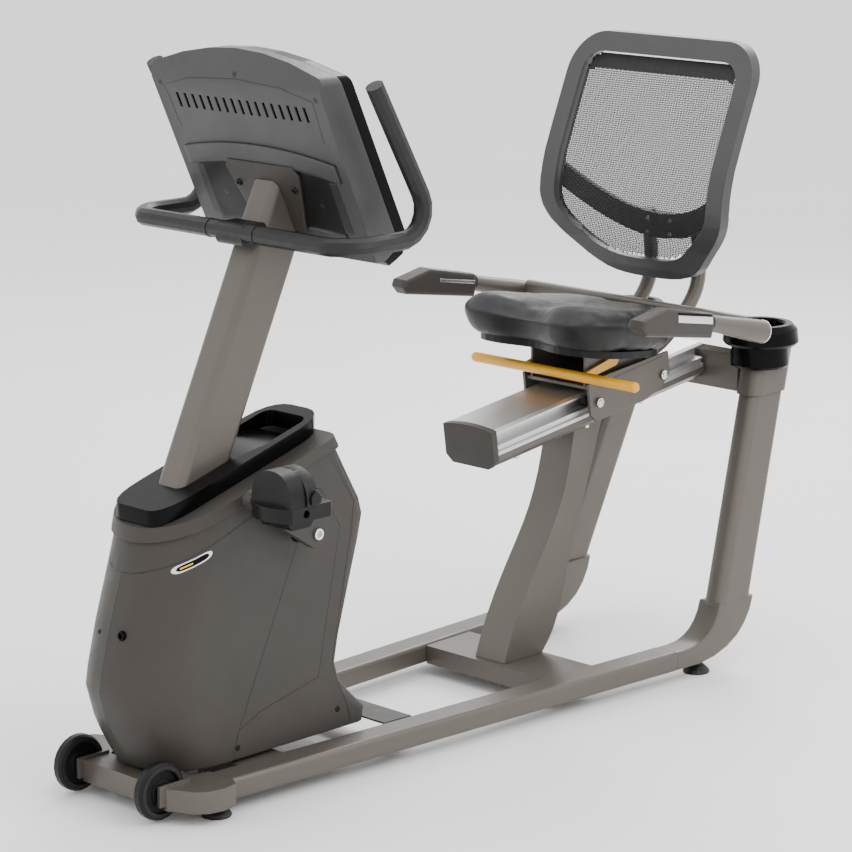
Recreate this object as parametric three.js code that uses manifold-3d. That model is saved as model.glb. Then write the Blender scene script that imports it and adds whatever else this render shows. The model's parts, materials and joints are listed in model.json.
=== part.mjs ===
// Recumbent exercise bike, built in millimetres with +Z up.
// +X runs from the drive housing to the seat, -Y is the rider's left.
// Every size below can be changed by itself; the assembly is centred on its footprint at the end.
import * as THREE from 'three';
import { mergeVertices } from 'three/addons/utils/BufferGeometryUtils.js';
import Module from 'manifold-3d';

const wasm = await Module();
wasm.setup();

// ---------------------------------------------------------------- driving dimensions
const GAP = 0.4;               // air between two pieces that touch
const RUNNING_GAP = 0.5;       // radial air round a part that turns
const SIDES = [['left', -1], ['right', 1]];

// base
const RAIL = { front: -570, rear: 575, bottom: 24.5, top: 65.5, width: 62, wall: 3 };
const RAIL_INNER_Y = 147.7;    // inner face of a rail at x = 0
const RAIL_SPLAY = 0.0566;     // sideways spread per unit of length
const CORNER_ROUND = 9;
const BEAM = { front: -690, rear: -632, joint: -571, cornerReach: 204, wall: 4, hollowHalf: 84 };
const FOOT = { radius: 28, height: 24, stem: 6, frontX: -596, frontY: 160, rearX: RAIL.rear + 93,
    rearY: 217 };
const WHEEL = { x: -688, y: 112, z: 57, radius: 53, width: 22, slot: 1.5, axle: 6 };
const CROSS = { front: 264, rear: 398, top: 62 };
const COVER_PLATE = { front: -154, rear: -86, top: 64, thick: 3 };

// rear legs
const LEG_LOW_X = RAIL.rear + 179;      // a leg's centre line where it leaves the elbow
const LEG_RUN = 151;                    // how far a leg leans to the rear
const LEG = {
  length: 104, width: 50, wall: 3, round: 20,
  x0: LEG_LOW_X, y0: 224, z0: 139, x1: LEG_LOW_X + LEG_RUN, y1: 181, z1: 556,
};
const COLLAR = { bottom: 548, top: 600, grow: 6, backTop: 645 };
const YOKE = { half: 150, rearTop: 612, wall: 5 };

// inclined seat rail
const SEAT_RAIL = { x: 223, z: 475, slope: 0.14, length: 641, halfWidth: 64, height: 79, beam: 25, wall: 3 };
const END_CAP = 15;

// seat post
const POST = { half: 40, wall: 4, edge: 8 };   // edge is measured along x, across slanting walls

// carriage and rollers
const CARRIAGE = { half: 90, wall: 6, front: 262, rear: 508, bottom: 21, top: 108 };
const DECK_SHORT = 46;         // how far the carriage deck stops short of its side plates
const ROLLER = { radius: 11, room: 1, front: 287, rear: 486, width: 16, pin: 4 };
const GROOVE = { centre: 58, half: ROLLER.radius + ROLLER.room, depth: 20 };
const LEVER = {
  x: 463, z: 627, half: 225, radius: 10.5, pivotX: 556, pivotZ: 648, armY: 79, shaft: 6, arm: 7,
};

// seat
const CUSHION = { x: 522, z: 684, length: 348, width: 408, thick: 78, tilt: 0.12 };
const PAN = { thick: 14, rear: 640 };
const SEAT_BOX = { front: 476, rear: 650, half: 74, wall: 5 };

// seat back
const BACK = { half: 244, top: 1276, bottom: 784, rim: 40, depth: 26, topRound: 84, lowRound: 170 };
const BACK_TUBE = { y: 65, radius: 15, x: 836 };
const CRADLE = { reach: 222, depth: 12, rise: 96, bow: 62, x: 784, z: 862, height: 50 };
const ARM = { y: 320, radius: 20, barX: 712, barZ: 726, barDepth: 24, barHeight: 40, barRound: 9 };
const GRIP = { width: 40 };
const CUP = { x: LEG.x1, y: 176, outer: 60, bore: 49, flange: 79, bottom: 601, rim: 692, flangeHeight: 46 };

// mast, console and handlebar
const MAST = { width: 70, lean: 0.461, frontX: -550, frontZ: 590, run: 110, bottom: 520, wall: 3, round: 16 };
const PLATE = { thick: 6, low: 62, high: 96, bottom: 1004, top: 1128 };
const CONSOLE = {
  half: 224, crown: 34, shell: 3, split: 26, backX: -387, backZ: 1270, lean: 0.4455,
  rearX: -177, rearZ: 1009, rearLean: 0.478,
};
const CHIN = { x: -224, top: 990 };
const SCREEN = { thick: 4, low: 1052, high: 1286, half: 196 };
const BUTTON = { radius: 9, z: 1026, depth: 9, travel: 2 };
const BUTTONS = [-60, 60];      // sideways places of the console's keys
const VENT = { count: 17, pitch: 21, width: 7, top: 1246, height: 27 };
const BAR = {
  radius: 17, frontX: -391, z: 1011, y: 290, bend: 52, corner: 62, turnX: -166, endX: -323, endZ: 1290,
};

// drive housing
const HOUSING = {
  half: 112, wall: 3.5, bottom: 70, deckX: -667, deckZ: 508, deckSlope: 0.297, noseLength: 128,
};
const RIM = { height: 24, lip: 6 };
const TRAY = { front: -640, rear: -236, half: 74, thick: 30, dishX: -330, dishLength: 130 };
const INLET = { x: -701, y: -30, z: 327, radius: 8 };

// drive train
const CRANK = { x: -343, z: 471, length: 170, angle: 149.5, inner: 139, thick: 21, axle: 11 };
const PEDAL = { length: 128, width: 104, thick: 26, y: 236, spindle: 7 };
const PULLEY = { radius: 112, width: 20, y: 30 };
const FLYWHEEL = { x: -545, z: 235, radius: 118, width: 40, y: -26, pulley: 28, shaft: 8 };
const BELT_THICK = 4;
const DRIVE = { tube: [-505, -400], plate: [0, 12], wall: 4 };
const SHELL_HALF = 36;         // half length of the bottom bracket shell

// ---------------------------------------------------------------- solid helpers
function toSolid(geometry) {
  const bare = geometry.clone();
  bare.deleteAttribute('normal');
  bare.deleteAttribute('uv');
  const merged = mergeVertices(bare, 1e-3);
  const index = merged.index.array;
  const triangles = [];
  for (let i = 0; i < index.length; i += 3) {
    const [a, b, c] = [index[i], index[i + 1], index[i + 2]];
    if (a !== b && b !== c && c !== a) triangles.push(a, b, c);
  }
  const mesh = new wasm.Mesh({
    numProp: 3,
    vertProperties: new Float32Array(merged.attributes.position.array),
    triVerts: new Uint32Array(triangles),
  });
  return new wasm.Manifold(mesh);
}

function toGeometry(solid) {
  const mesh = solid.getMesh();
  const geometry = new THREE.BufferGeometry();
  geometry.setAttribute('position', new THREE.BufferAttribute(new Float32Array(mesh.vertProperties), 3));
  geometry.setIndex(new THREE.BufferAttribute(new Uint32Array(mesh.triVerts), 1));
  geometry.computeVertexNormals();
  return geometry;
}

function join(first, ...others) {
  return toGeometry(others.reduce((sum, piece) => sum.add(toSolid(piece)), toSolid(first)));
}

function cut(body, ...tools) {
  return toGeometry(tools.reduce((rest, tool) => rest.subtract(toSolid(tool)), toSolid(body)));
}

function common(a, b) {
  return toGeometry(toSolid(a).intersect(toSolid(b)));
}

// The copy on the other side of the plane y = 0.
function mirrored(geometry) {
  const copy = geometry.index ? geometry.toNonIndexed() : geometry.clone();
  copy.scale(1, -1, 1);
  const p = copy.attributes.position.array;
  for (let i = 0; i < p.length; i += 9) {
    for (let k = 0; k < 3; k += 1) [p[i + 3 + k], p[i + 6 + k]] = [p[i + 6 + k], p[i + 3 + k]];
  }
  copy.computeVertexNormals();
  return copy;
}

// ---------------------------------------------------------------- shape helpers
function polygon(points) {
  return new THREE.Shape(points.map(([u, v]) => new THREE.Vector2(u, v)));
}

function roundedRect(width, height, radius, cx = 0, cy = 0) {
  const [w, h] = [width / 2, height / 2];
  const r = Math.min(radius, w, h);
  const shape = new THREE.Shape();
  shape.moveTo(cx - w + r, cy - h);
  shape.lineTo(cx + w - r, cy - h);
  shape.absarc(cx + w - r, cy - h + r, r, -Math.PI / 2, 0);
  shape.lineTo(cx + w, cy + h - r);
  shape.absarc(cx + w - r, cy + h - r, r, 0, Math.PI / 2);
  shape.lineTo(cx - w + r, cy + h);
  shape.absarc(cx - w + r, cy + h - r, r, Math.PI / 2, Math.PI);
  shape.lineTo(cx - w, cy - h + r);
  shape.absarc(cx - w + r, cy - h + r, r, Math.PI, 1.5 * Math.PI);
  return shape;
}

function block(x0, x1, y0, y1, z0, z1) {
  const geometry = new THREE.BoxGeometry(x1 - x0, y1 - y0, z1 - z0);
  return geometry.translate((x0 + x1) / 2, (y0 + y1) / 2, (z0 + z1) / 2);
}

// The corner points of a closed outline, without doubled points or points on a straight run.
function corners(points) {
  const apart = points.filter((p, i) => p.distanceTo(points[(i + 1) % points.length]) > 1e-3);
  return apart.filter((p, i) => {
    const before = apart[(i + apart.length - 1) % apart.length];
    const after = apart[(i + 1) % apart.length];
    return Math.abs(p.clone().sub(before).cross(after.clone().sub(p))) > 1e-3;
  });
}

function tidy(shape, segments) {
  const { shape: contour, holes } = shape.extractPoints(segments);
  const clean = new THREE.Shape(corners(contour));
  clean.holes = holes.map((hole) => new THREE.Path(corners(hole)));
  return clean;
}

function extrude(shape, depth, segments) {
  return new THREE.ExtrudeGeometry(tidy(shape, segments), { depth, bevelEnabled: false });
}

// An outline drawn in X and Z, extruded from y0 to y1.
function slabY(shape, y0, y1, segments = 5) {
  return extrude(shape, y1 - y0, segments).rotateX(Math.PI / 2).translate(0, y1, 0);
}

// An outline drawn in Y and Z, extruded from x0 to x1.
function slabX(shape, x0, x1, segments = 5) {
  const geometry = extrude(shape, x1 - x0, segments);
  const turn = new THREE.Matrix4().makeBasis(
    new THREE.Vector3(0, 1, 0),
    new THREE.Vector3(0, 0, 1),
    new THREE.Vector3(1, 0, 0),
  );
  return geometry.applyMatrix4(turn).translate(x0, 0, 0);
}

// An outline drawn in X and Y, extruded from z0 to z1.
function slabZ(shape, z0, z1, segments = 5) {
  return extrude(shape, z1 - z0, segments).translate(0, 0, z0);
}

function rod(from, to, radius, sides = 20) {
  const a = new THREE.Vector3(...from);
  const b = new THREE.Vector3(...to);
  const geometry = new THREE.CylinderGeometry(radius, radius, a.distanceTo(b), sides);
  const way = b.clone().sub(a).normalize();
  const turn = new THREE.Quaternion().setFromUnitVectors(new THREE.Vector3(0, 1, 0), way);
  return geometry.applyQuaternion(turn).translate(...a.add(b).multiplyScalar(0.5).toArray());
}

// A turned piece: profile points are [radius, height] along the +Y axis.
function turned(profile, sides = 32) {
  return new THREE.LatheGeometry(profile.map(([r, h]) => new THREE.Vector2(r, h)), sides);
}

function ringProfile(inner, outer, low, high) {
  return [[inner, low], [outer, low], [outer, high], [inner, high], [inner, low]];
}

function sweep(shape, points, steps, segments = 4) {
  const spots = points.map((p) => new THREE.Vector3(...p));
  const path = new THREE.CatmullRomCurve3(spots, false, 'catmullrom', 0.5);
  return new THREE.ExtrudeGeometry(tidy(shape, segments), { steps, bevelEnabled: false, extrudePath: path });
}

function circleShape(radius) {
  const shape = new THREE.Shape();
  shape.absarc(0, 0, radius, 0, 2 * Math.PI);
  return shape;
}

// Points of an arc in the plane spanned by u and v, for a path through 3-D.
function arcPoints(centre, radius, u, v, start, end, count) {
  return Array.from({ length: count }, (_, i) => {
    const t = start + ((end - start) * i) / (count - 1);
    return centre.map((c, k) => c + radius * (Math.cos(t) * u[k] + Math.sin(t) * v[k]));
  });
}

function between(table, z) {
  const rows = [...table].sort((a, b) => a[0] - b[0]);
  if (z <= rows[0][0]) return rows[0][1];
  for (let i = 1; i < rows.length; i += 1) {
    const [z0, x0] = rows[i - 1];
    const [z1, x1] = rows[i];
    if (z <= z1) return x0 + ((x1 - x0) * (z - z0)) / (z1 - z0);
  }
  return rows[rows.length - 1][1];
}

// ---------------------------------------------------------------- materials
const COLOURS = {
  frame_paint: ['#6a635c', 0.45, 0.55],
  housing_plastic: ['#625c56', 0.5, 0.2],
  black_plastic: ['#1b1b1c', 0.35, 0.1],
  console_plastic: ['#3f4042', 0.5, 0.1],
  aluminium: ['#c4c4c6', 0.3, 0.9],
  steel: ['#86868a', 0.35, 0.9],
  rubber: ['#141414', 0.8, 0.0],
  lever_coat: ['#e0a21c', 0.4, 0.0],
  vinyl: ['#202022', 0.5, 0.0],
  mesh_fabric: ['#17171a', 0.8, 0.0],
  screen_glass: ['#08090b', 0.1, 0.0],
};

const bike = new THREE.Group();

function place(name, geometry, slot) {
  const [color, roughness, metalness] = COLOURS[slot];
  const mesh = new THREE.Mesh(geometry, new THREE.MeshStandardMaterial({ color, roughness, metalness }));
  mesh.name = name;
  bike.add(mesh);
}

// ---------------------------------------------------------------- base frame
function railInner(x) {
  return RAIL_INNER_Y + RAIL_SPLAY * x;
}

// Slides every point sideways with x, so that a straight piece follows a rail.
function splayed(geometry, sign) {
  const p = geometry.attributes.position;
  for (let i = 0; i < p.count; i += 1) p.setY(i, p.getY(i) + sign * RAIL_SPLAY * p.getX(i));
  geometry.computeVertexNormals();
  return geometry;
}

function baseRail(sign) {
  const height = RAIL.top - RAIL.bottom;
  const centreY = sign * (RAIL_INNER_Y + RAIL.width / 2);
  const centreZ = (RAIL.top + RAIL.bottom) / 2;
  const section = roundedRect(RAIL.width, height, CORNER_ROUND, centreY, centreZ);
  section.holes.push(roundedRect(RAIL.width - 2 * RAIL.wall, height - 2 * RAIL.wall, CORNER_ROUND - RAIL.wall,
    centreY, centreZ));
  return splayed(slabX(section, RAIL.front, RAIL.rear, 3), sign);
}

function footHole(x, y) {
  return rod([x, y, 0], [x, y, RAIL.bottom + 24], FOOT.stem + RUNNING_GAP, 16);
}

function wheelSlot(sign) {
  const half = WHEEL.width / 2 + WHEEL.slot;
  const reach = WHEEL.x + WHEEL.radius + 4;
  return block(BEAM.front - 5, reach, sign * WHEEL.y - half, sign * WHEEL.y + half, 0, 120);
}

function frontBeam() {
  const jointY = railInner(BEAM.joint);
  const r = BEAM.cornerReach;
  const half = [
    [BEAM.front, 0], [BEAM.front, 134], [BEAM.front + 10, 152], [BEAM.front + 24, r - 22],
    [BEAM.front + 44, r - 6], [BEAM.front + 74, r], [BEAM.joint - 12, r - 6], [BEAM.joint,
        jointY + RAIL.width],
    [BEAM.joint, jointY - 1], [BEAM.joint - 30, jointY - 6], [BEAM.rear, 88], [BEAM.rear, 0],
  ];
  const outline = [...half, ...half.slice(1, -1).reverse().map(([x, y]) => [x, -y])];
  const body = slabZ(polygon(outline), RAIL.bottom, RAIL.top);
  const channel = block(BEAM.front + BEAM.wall, BEAM.rear - BEAM.wall, -BEAM.hollowHalf, BEAM.hollowHalf,
    RAIL.bottom - 5, RAIL.top - BEAM.wall);
  const pieces = [channel];
  for (const [, sign] of SIDES) {
    pieces.push(wheelSlot(sign));
    pieces.push(footHole(FOOT.frontX, sign * FOOT.frontY));
    pieces.push(rod([WHEEL.x + 8, sign * (WHEEL.y - 22), WHEEL.z - 30], [WHEEL.x + 8,
        sign * (WHEEL.y - 22), 0], 2, 6));
  }
  const axles = SIDES.map(([, sign]) => rod(
    [WHEEL.x, sign * (WHEEL.y - WHEEL.width / 2 - 8), WHEEL.z],
    [WHEEL.x, sign * (WHEEL.y + WHEEL.width / 2 + 9), WHEEL.z], WHEEL.axle, 16));
  const lugs = SIDES.flatMap(([, sign]) => [-1, 1].map((s) => {
    const inner = sign * WHEEL.y + s * (WHEEL.width / 2 + WHEEL.slot);
    const [y0, y1] = [inner, inner + s * 7].sort((a, b) => a - b);
    return block(BEAM.front + 1 - 14, BEAM.rear, y0, y1, RAIL.bottom + 8, WHEEL.z + 14);
  }));
  return join(cut(body, ...pieces), ...lugs, ...axles);
}

function transportWheel(sign) {
  const w = WHEEL.width / 2;
  const bore = WHEEL.axle + RUNNING_GAP;
  const profile = [
    [bore, -w + 2], [22, -w + 2], [24, -w + 6], [WHEEL.radius - 14, -w + 6], [WHEEL.radius - 12, -w],
    [WHEEL.radius - 4, -w], [WHEEL.radius, -w + 5], [WHEEL.radius, w - 5], [WHEEL.radius - 4, w],
    [WHEEL.radius - 12, w], [WHEEL.radius - 14, w - 6], [24, w - 6], [22, w - 2], [bore, w - 2], [bore,
        -w + 2],
  ];
  return turned(profile, 24).translate(WHEEL.x, sign * WHEEL.y, WHEEL.z);
}

function levellingFoot(x, y) {
  const profile = [
    [0, 0], [FOOT.radius - 1, 0], [FOOT.radius, 3], [FOOT.radius - 3, 8], [14, FOOT.height - 6],
    [11, FOOT.height - 0.6], [FOOT.stem, FOOT.height - 0.6], [FOOT.stem, RAIL.bottom + 20], [0,
        RAIL.bottom + 20],
  ];
  return turned(profile, 16).rotateX(Math.PI / 2).translate(x, y, 0);
}

function crossMember() {
  const clear = 0.6;
  const inner = (x) => railInner(x) - clear;
  const outline = polygon([
    [CROSS.front, -inner(CROSS.front)], [CROSS.rear, -inner(CROSS.rear)],
    [CROSS.rear, inner(CROSS.rear)], [CROSS.front, inner(CROSS.front)],
  ]);
  const body = slabZ(outline, RAIL.bottom, CROSS.top);
  const bore = block(CROSS.front + 4, CROSS.rear - 4, -400, 400, RAIL.bottom + 4, CROSS.top - 4);
  return cut(body, bore);
}

function coverPlate() {
  const inner = (x) => railInner(x) - 1;
  const outline = polygon([
    [COVER_PLATE.front, -inner(COVER_PLATE.front)], [COVER_PLATE.rear, -inner(COVER_PLATE.rear)],
    [COVER_PLATE.rear, inner(COVER_PLATE.rear)], [COVER_PLATE.front, inner(COVER_PLATE.front)],
  ]);
  const skin = slabZ(outline, COVER_PLATE.top - COVER_PLATE.thick, COVER_PLATE.top);
  const flange = block(COVER_PLATE.rear - 3, COVER_PLATE.rear, -inner(COVER_PLATE.front),
      inner(COVER_PLATE.front),
    30, COVER_PLATE.top);
  return join(skin, flange);
}

// ---------------------------------------------------------------- rear legs and yoke
function legShape(grow, wall = 0) {
  return roundedRect(LEG.length + 2 * grow - 2 * wall, LEG.width + 2 * grow - 2 * wall,
      LEG.round + grow - wall);
}

// A straight column that follows the leg's lean between two heights.
function legColumn(grow, z0, z1, sign, wall = 0) {
  const lean = { x: (LEG.x1 - LEG.x0) / (LEG.z1 - LEG.z0), y: (LEG.y1 - LEG.y0) / (LEG.z1 - LEG.z0) };
  const column = slabZ(legShape(grow, wall), z0, z1, 4);
  const p = column.attributes.position;
  for (let i = 0; i < p.count; i += 1) {
    const rise = p.getZ(i) - LEG.z0;
    p.setX(i, p.getX(i) + LEG.x0 + lean.x * rise);
    p.setY(i, p.getY(i) + sign * (LEG.y0 + lean.y * rise));
  }
  return column;
}

function rearLeg(sign) {
  const inner = new THREE.Shape();
  const start = RAIL.rear + GAP;
  const [xa, xb] = [LEG.x0 - LEG.length / 2, LEG.x0 + LEG.length / 2];
  inner.moveTo(start, RAIL.bottom);
  inner.lineTo(xb - 160, RAIL.bottom);
  inner.bezierCurveTo(xb - 60, RAIL.bottom + 8, xb - 10, LEG.z0 - 58, xb + 1, LEG.z0 + 4);
  inner.lineTo(xa + 2, LEG.z0 + 4);
  inner.bezierCurveTo(xa - 8, RAIL.top + 30, xa - 40, RAIL.top + 1, xa - 90, RAIL.top);
  inner.lineTo(start, RAIL.top);
  const centre = RAIL_INNER_Y + RAIL.width / 2;
  const bevel = 7;
  const elbowHalf = RAIL.width / 2 - 2;
  const elbow = new THREE.ExtrudeGeometry(tidy(inner, 6), {
    depth: 2 * (elbowHalf - bevel), bevelEnabled: true, bevelThickness: bevel, bevelSize: bevel,
    bevelOffset: -bevel, bevelSegments: 2,
  });
  elbow.rotateX(Math.PI / 2).translate(0, sign * centre + elbowHalf - bevel, 0);
  splayed(elbow, sign);
  const hollow = legColumn(0, LEG.z0 + 10, LEG.z1 + 4, sign, LEG.wall);
  const column = cut(legColumn(0, LEG.z0 - 6, LEG.z1, sign), hollow);
  return cut(join(elbow, column), footHole(FOOT.rearX, sign * FOOT.rearY));
}

function cupRoom(sign) {
  const z = CUP.bottom - GAP;
  return rod([CUP.x, sign * CUP.y, z], [CUP.x, sign * CUP.y, 760], CUP.outer + GAP + 0.6, 28);
}

function rearYoke() {
  const parts = [];
  for (const [, sign] of SIDES) {
    const full = legColumn(COLLAR.grow, COLLAR.bottom, COLLAR.backTop, sign);
    const ring = cut(full, legColumn(GAP, COLLAR.bottom - 5, LEG.z1 + GAP, sign));
    const frontCut = block(LEG.x1 - 200, CUP.x + 18, sign * 180 - 100, sign * 180 + 100, COLLAR.top, 760);
    parts.push(cut(ring, frontCut, cupRoom(sign)));
  }
  const railEnd = SEAT_RAIL.x + SEAT_RAIL.length;
  const [low, high, wall] = [COLLAR.bottom, YOKE.rearTop, YOKE.wall];
  const bridge = polygon([
    [railEnd, low], [LEG.x1 + 46, low], [LEG.x1 + 50, high], [railEnd + 8, high + 22], [railEnd, high + 8],
  ]);
  const centre = slabY(bridge, -YOKE.half, YOKE.half);
  const room = polygon([
    [railEnd + wall, low + wall], [LEG.x1 + 45 - wall, low + wall],
    [LEG.x1 + 49 - wall, high - 6], [railEnd + 10, high + 10],
  ]);
  const hollow = slabY(room, 4 - YOKE.half, YOKE.half - 4);
  const door = block(LEG.x1, LEG.x1 + 30, -60, 60, 540, 560);
  let yoke = join(parts[0], centre, parts[1]);
  for (const [, sign] of SIDES) yoke = cut(yoke, cupRoom(sign));
  return cut(yoke, hollow, door);
}

function cupHolder(sign) {
  const r = CUP.outer;
  const low = CUP.rim - CUP.flangeHeight;
  const profile = [
    [0, CUP.bottom], [r - 4, CUP.bottom], [r, CUP.bottom + 5], [r, low], [CUP.flange - 5, low + 2],
    [CUP.flange, low + 8], [CUP.flange - 3, CUP.rim - 12], [CUP.flange - 14, CUP.rim], [CUP.bore + 4,
        CUP.rim],
    [CUP.bore, CUP.rim - 5], [CUP.bore - 3, CUP.bottom + 5], [0, CUP.bottom + 5],
  ];
  return turned(profile, 28).rotateX(Math.PI / 2).translate(CUP.x, sign * CUP.y, 0);
}

// ---------------------------------------------------------------- inclined rail
const RAIL_ANGLE = Math.atan(SEAT_RAIL.slope);

// Carries a piece from rail coordinates (s along the rail, t square to it) into the frame.
function onRail(geometry) {
  return geometry.rotateY(-RAIL_ANGLE).translate(SEAT_RAIL.x, 0, SEAT_RAIL.z);
}

function railBottom(x) {
  return SEAT_RAIL.z + SEAT_RAIL.slope * (x - SEAT_RAIL.x);
}

const RAIL_LENGTH = (SEAT_RAIL.length - 3) / Math.cos(RAIL_ANGLE);

function railExtrusion() {
  const [h, t0, t1] = [SEAT_RAIL.halfWidth, SEAT_RAIL.beam + GAP, SEAT_RAIL.height];
  const [g0, g1, d] = [GROOVE.centre - GROOVE.half, GROOVE.centre + GROOVE.half, h - GROOVE.depth];
  const right = [[h, t0], [h, t0 + 7], [h - 5, t0 + 9], [h - 5, g0 - 6], [h, g0 - 4], [h, g0], [d, g0],
      [d, g1],
    [h, g1], [h, t1 - 5], [h - 5, t1]];
  const outline = polygon([...right, ...[...right].reverse().map(([y, t]) => [-y, t])]);
  outline.holes.push(roundedRect(2 * (d - 5), t1 - t0 - 12, 3, 0, (t0 + t1) / 2));
  return onRail(slabX(outline, END_CAP + GAP, RAIL_LENGTH));
}

function railBeam() {
  const [h, b] = [SEAT_RAIL.halfWidth, SEAT_RAIL.beam];
  const outline = polygon([[-h + 16, 0], [h - 16, 0], [h, 14], [h, b], [-h, b], [-h, 14]]);
  outline.holes.push(polygon([[-h + 18, 3.5], [h - 18, 3.5], [h - 4, 15], [h - 4, b - 3.5], [-h + 4,
      b - 3.5], [-h + 4, 15]]));
  return onRail(slabX(outline, END_CAP + GAP, RAIL_LENGTH));
}

function railEndCap() {
  const h = SEAT_RAIL.halfWidth + 1.5;
  const shape = new THREE.Shape();
  shape.moveTo(-h + 17, -1.5);
  shape.lineTo(h - 17, -1.5);
  shape.lineTo(h, 14);
  shape.lineTo(h, SEAT_RAIL.height - 2);
  shape.quadraticCurveTo(0, SEAT_RAIL.height + 11, -h, SEAT_RAIL.height - 2);
  shape.lineTo(-h, 14);
  return onRail(slabX(shape, 0, END_CAP, 8));
}

// side outline of the seat post, drawn in by `inset`
function postOutline(inset) {
  const foot = CROSS.top + GAP + inset;
  const top = (x) => railBottom(x) - GAP - inset;
  const front = (x) => x + inset;
  const rear = (x) => x - inset;
  const shape = new THREE.Shape();
  shape.moveTo(front(281), foot);
  shape.lineTo(rear(392), foot);
  shape.bezierCurveTo(rear(440), 110, rear(452), 170, rear(468), 232);
  shape.lineTo(rear(567), top(567));
  shape.lineTo(front(483), top(483));
  shape.bezierCurveTo(front(466), 400, front(440), 345, front(400), 285);
  shape.bezierCurveTo(front(350), 210, front(310), 150, front(281), foot);
  return shape;
}

function seatPost() {
  const inner = POST.half - POST.wall;
  const body = slabY(postOutline(0), -POST.half, POST.half, 6);
  const bore = slabY(postOutline(POST.edge), -inner, inner);
  const access = block(345, 365, -10, 10, 40, 90);
  return cut(body, bore, access);
}

// ---------------------------------------------------------------- seat carriage
function deckTop(x) {
  return railBottom(x) + (SEAT_RAIL.height + 16) / Math.cos(RAIL_ANGLE);
}

function panBottom(x) {
  return CUSHION.z - CUSHION.tilt * (x - CUSHION.x) - PAN.thick;
}

function carriagePins() {
  const c = CARRIAGE;
  return [ROLLER.front, ROLLER.rear].flatMap((s) => SIDES.flatMap(([, sign]) => {
    const at = (y) => [s, sign * y, GROOVE.centre];
    return [
      rod(at(SEAT_RAIL.halfWidth - GROOVE.depth + 2), at(c.half + 5), ROLLER.pin, 12),
      rod(at(c.half - 1), at(c.half + 4), 9, 12),
      rod(at(SEAT_RAIL.halfWidth + 3), at(c.half - c.wall + 1), 7, 12),
    ];
  }));
}

function seatCarriage() {
  const c = CARRIAGE;
  const inside = c.half - c.wall;
  const side = polygon([
    [c.front + 14, c.bottom], [420, c.bottom], [478, 31], [c.rear - 4, 52], [c.rear, 62],
    [c.rear, c.top - 6], [c.front + 30, c.top], [c.front, c.top - 6], [c.front, c.bottom + 16],
  ]);
  const walls = [slabY(side, inside, c.half), slabY(side, -c.half, -inside)];
  const [deckLow, deckHigh] = [SEAT_RAIL.height + 9, SEAT_RAIL.height + 16];
  const deck = block(c.front + 6, c.rear - DECK_SHORT, -inside - 1, inside + 1, deckLow, deckHigh);
  const chassis = onRail(join(deck, ...walls, ...carriagePins()));
  const { front, rear, half, wall } = SEAT_BOX;
  const box = slabY(polygon([
    [front, deckTop(front) - 4], [rear, deckTop(rear) - 4], [rear, panBottom(rear) - GAP], [front,
        panBottom(front) - GAP],
  ]), -half, half);
  const core = slabY(polygon([
    [front - 5, deckTop(front) - 2], [rear - wall, deckTop(rear)],
    [rear - wall, panBottom(rear) - wall], [front - 5, panBottom(front) - wall],
  ]), -half + wall, half - wall);
  const shaft = rod([LEVER.pivotX, -half - 5, LEVER.pivotZ], [LEVER.pivotX, half + 5, LEVER.pivotZ],
    LEVER.shaft + RUNNING_GAP, 16);
  return join(chassis, cut(box, core, shaft));
}

function railRoller(s, sign) {
  const w = ROLLER.width / 2;
  const middle = SEAT_RAIL.halfWidth - GROOVE.depth + 3 + w;
  const wheel = turned(ringProfile(ROLLER.pin + RUNNING_GAP, ROLLER.radius, -w, w), 16);
  return onRail(wheel.translate(s, sign * middle, GROOVE.centre));
}

function seatLever() {
  const { x, z, half, radius, pivotX, pivotZ, armY, arm, shaft } = LEVER;
  const bar = new THREE.CapsuleGeometry(radius, 2 * (half - radius), 5, 18).translate(x, 0, z);
  const outline = new THREE.Shape();
  const lean = Math.atan2(pivotZ - z, pivotX - x);
  outline.absarc(pivotX, pivotZ, 10, lean - Math.PI / 2, lean + Math.PI / 2);
  outline.absarc(x, z, 7, lean + Math.PI / 2, lean + 1.5 * Math.PI);
  const arms = SIDES.map(([, sign]) => slabY(outline, sign * armY - arm / 2, sign * armY + arm / 2, 6));
  const reach = armY + arm / 2 - 0.5;
  return join(bar, ...arms, rod([pivotX, -reach, pivotZ], [pivotX, reach, pivotZ], shaft, 16));
}

// ---------------------------------------------------------------- seat
// Drops every point with x, so that a flat piece follows the tilt of the seat.
function tilted(geometry) {
  const p = geometry.attributes.position;
  for (let i = 0; i < p.count; i += 1) p.setZ(i, p.getZ(i) - CUSHION.tilt * (p.getX(i) - CUSHION.x));
  geometry.computeVertexNormals();
  return geometry;
}

// Plan of the seat: two thigh lobes at the front with a valley between them.
function seatOutline(inset) {
  const front = CUSHION.x - CUSHION.length / 2 + inset;
  const rear = CUSHION.x + CUSHION.length / 2 - inset;
  const w = CUSHION.width / 2 - inset;
  const shape = new THREE.Shape();
  shape.moveTo(front + 26, 0);
  shape.bezierCurveTo(front + 24, -w * 0.22, front, -w * 0.3, front, -w * 0.52);
  shape.bezierCurveTo(front, -w * 0.86, front + 40, -w, front + 96, -w);
  shape.bezierCurveTo(rear - 120, -w, rear - 34, -w * 0.94, rear - 8, -w * 0.6);
  shape.bezierCurveTo(rear, -w * 0.45, rear, -w * 0.2, rear, 0);
  shape.bezierCurveTo(rear, w * 0.2, rear, w * 0.45, rear - 8, w * 0.6);
  shape.bezierCurveTo(rear - 34, w * 0.94, rear - 120, w, front + 96, w);
  shape.bezierCurveTo(front + 40, w, front, w * 0.86, front, w * 0.52);
  shape.bezierCurveTo(front, w * 0.3, front + 24, w * 0.22, front + 26, 0);
  return shape;
}

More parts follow.
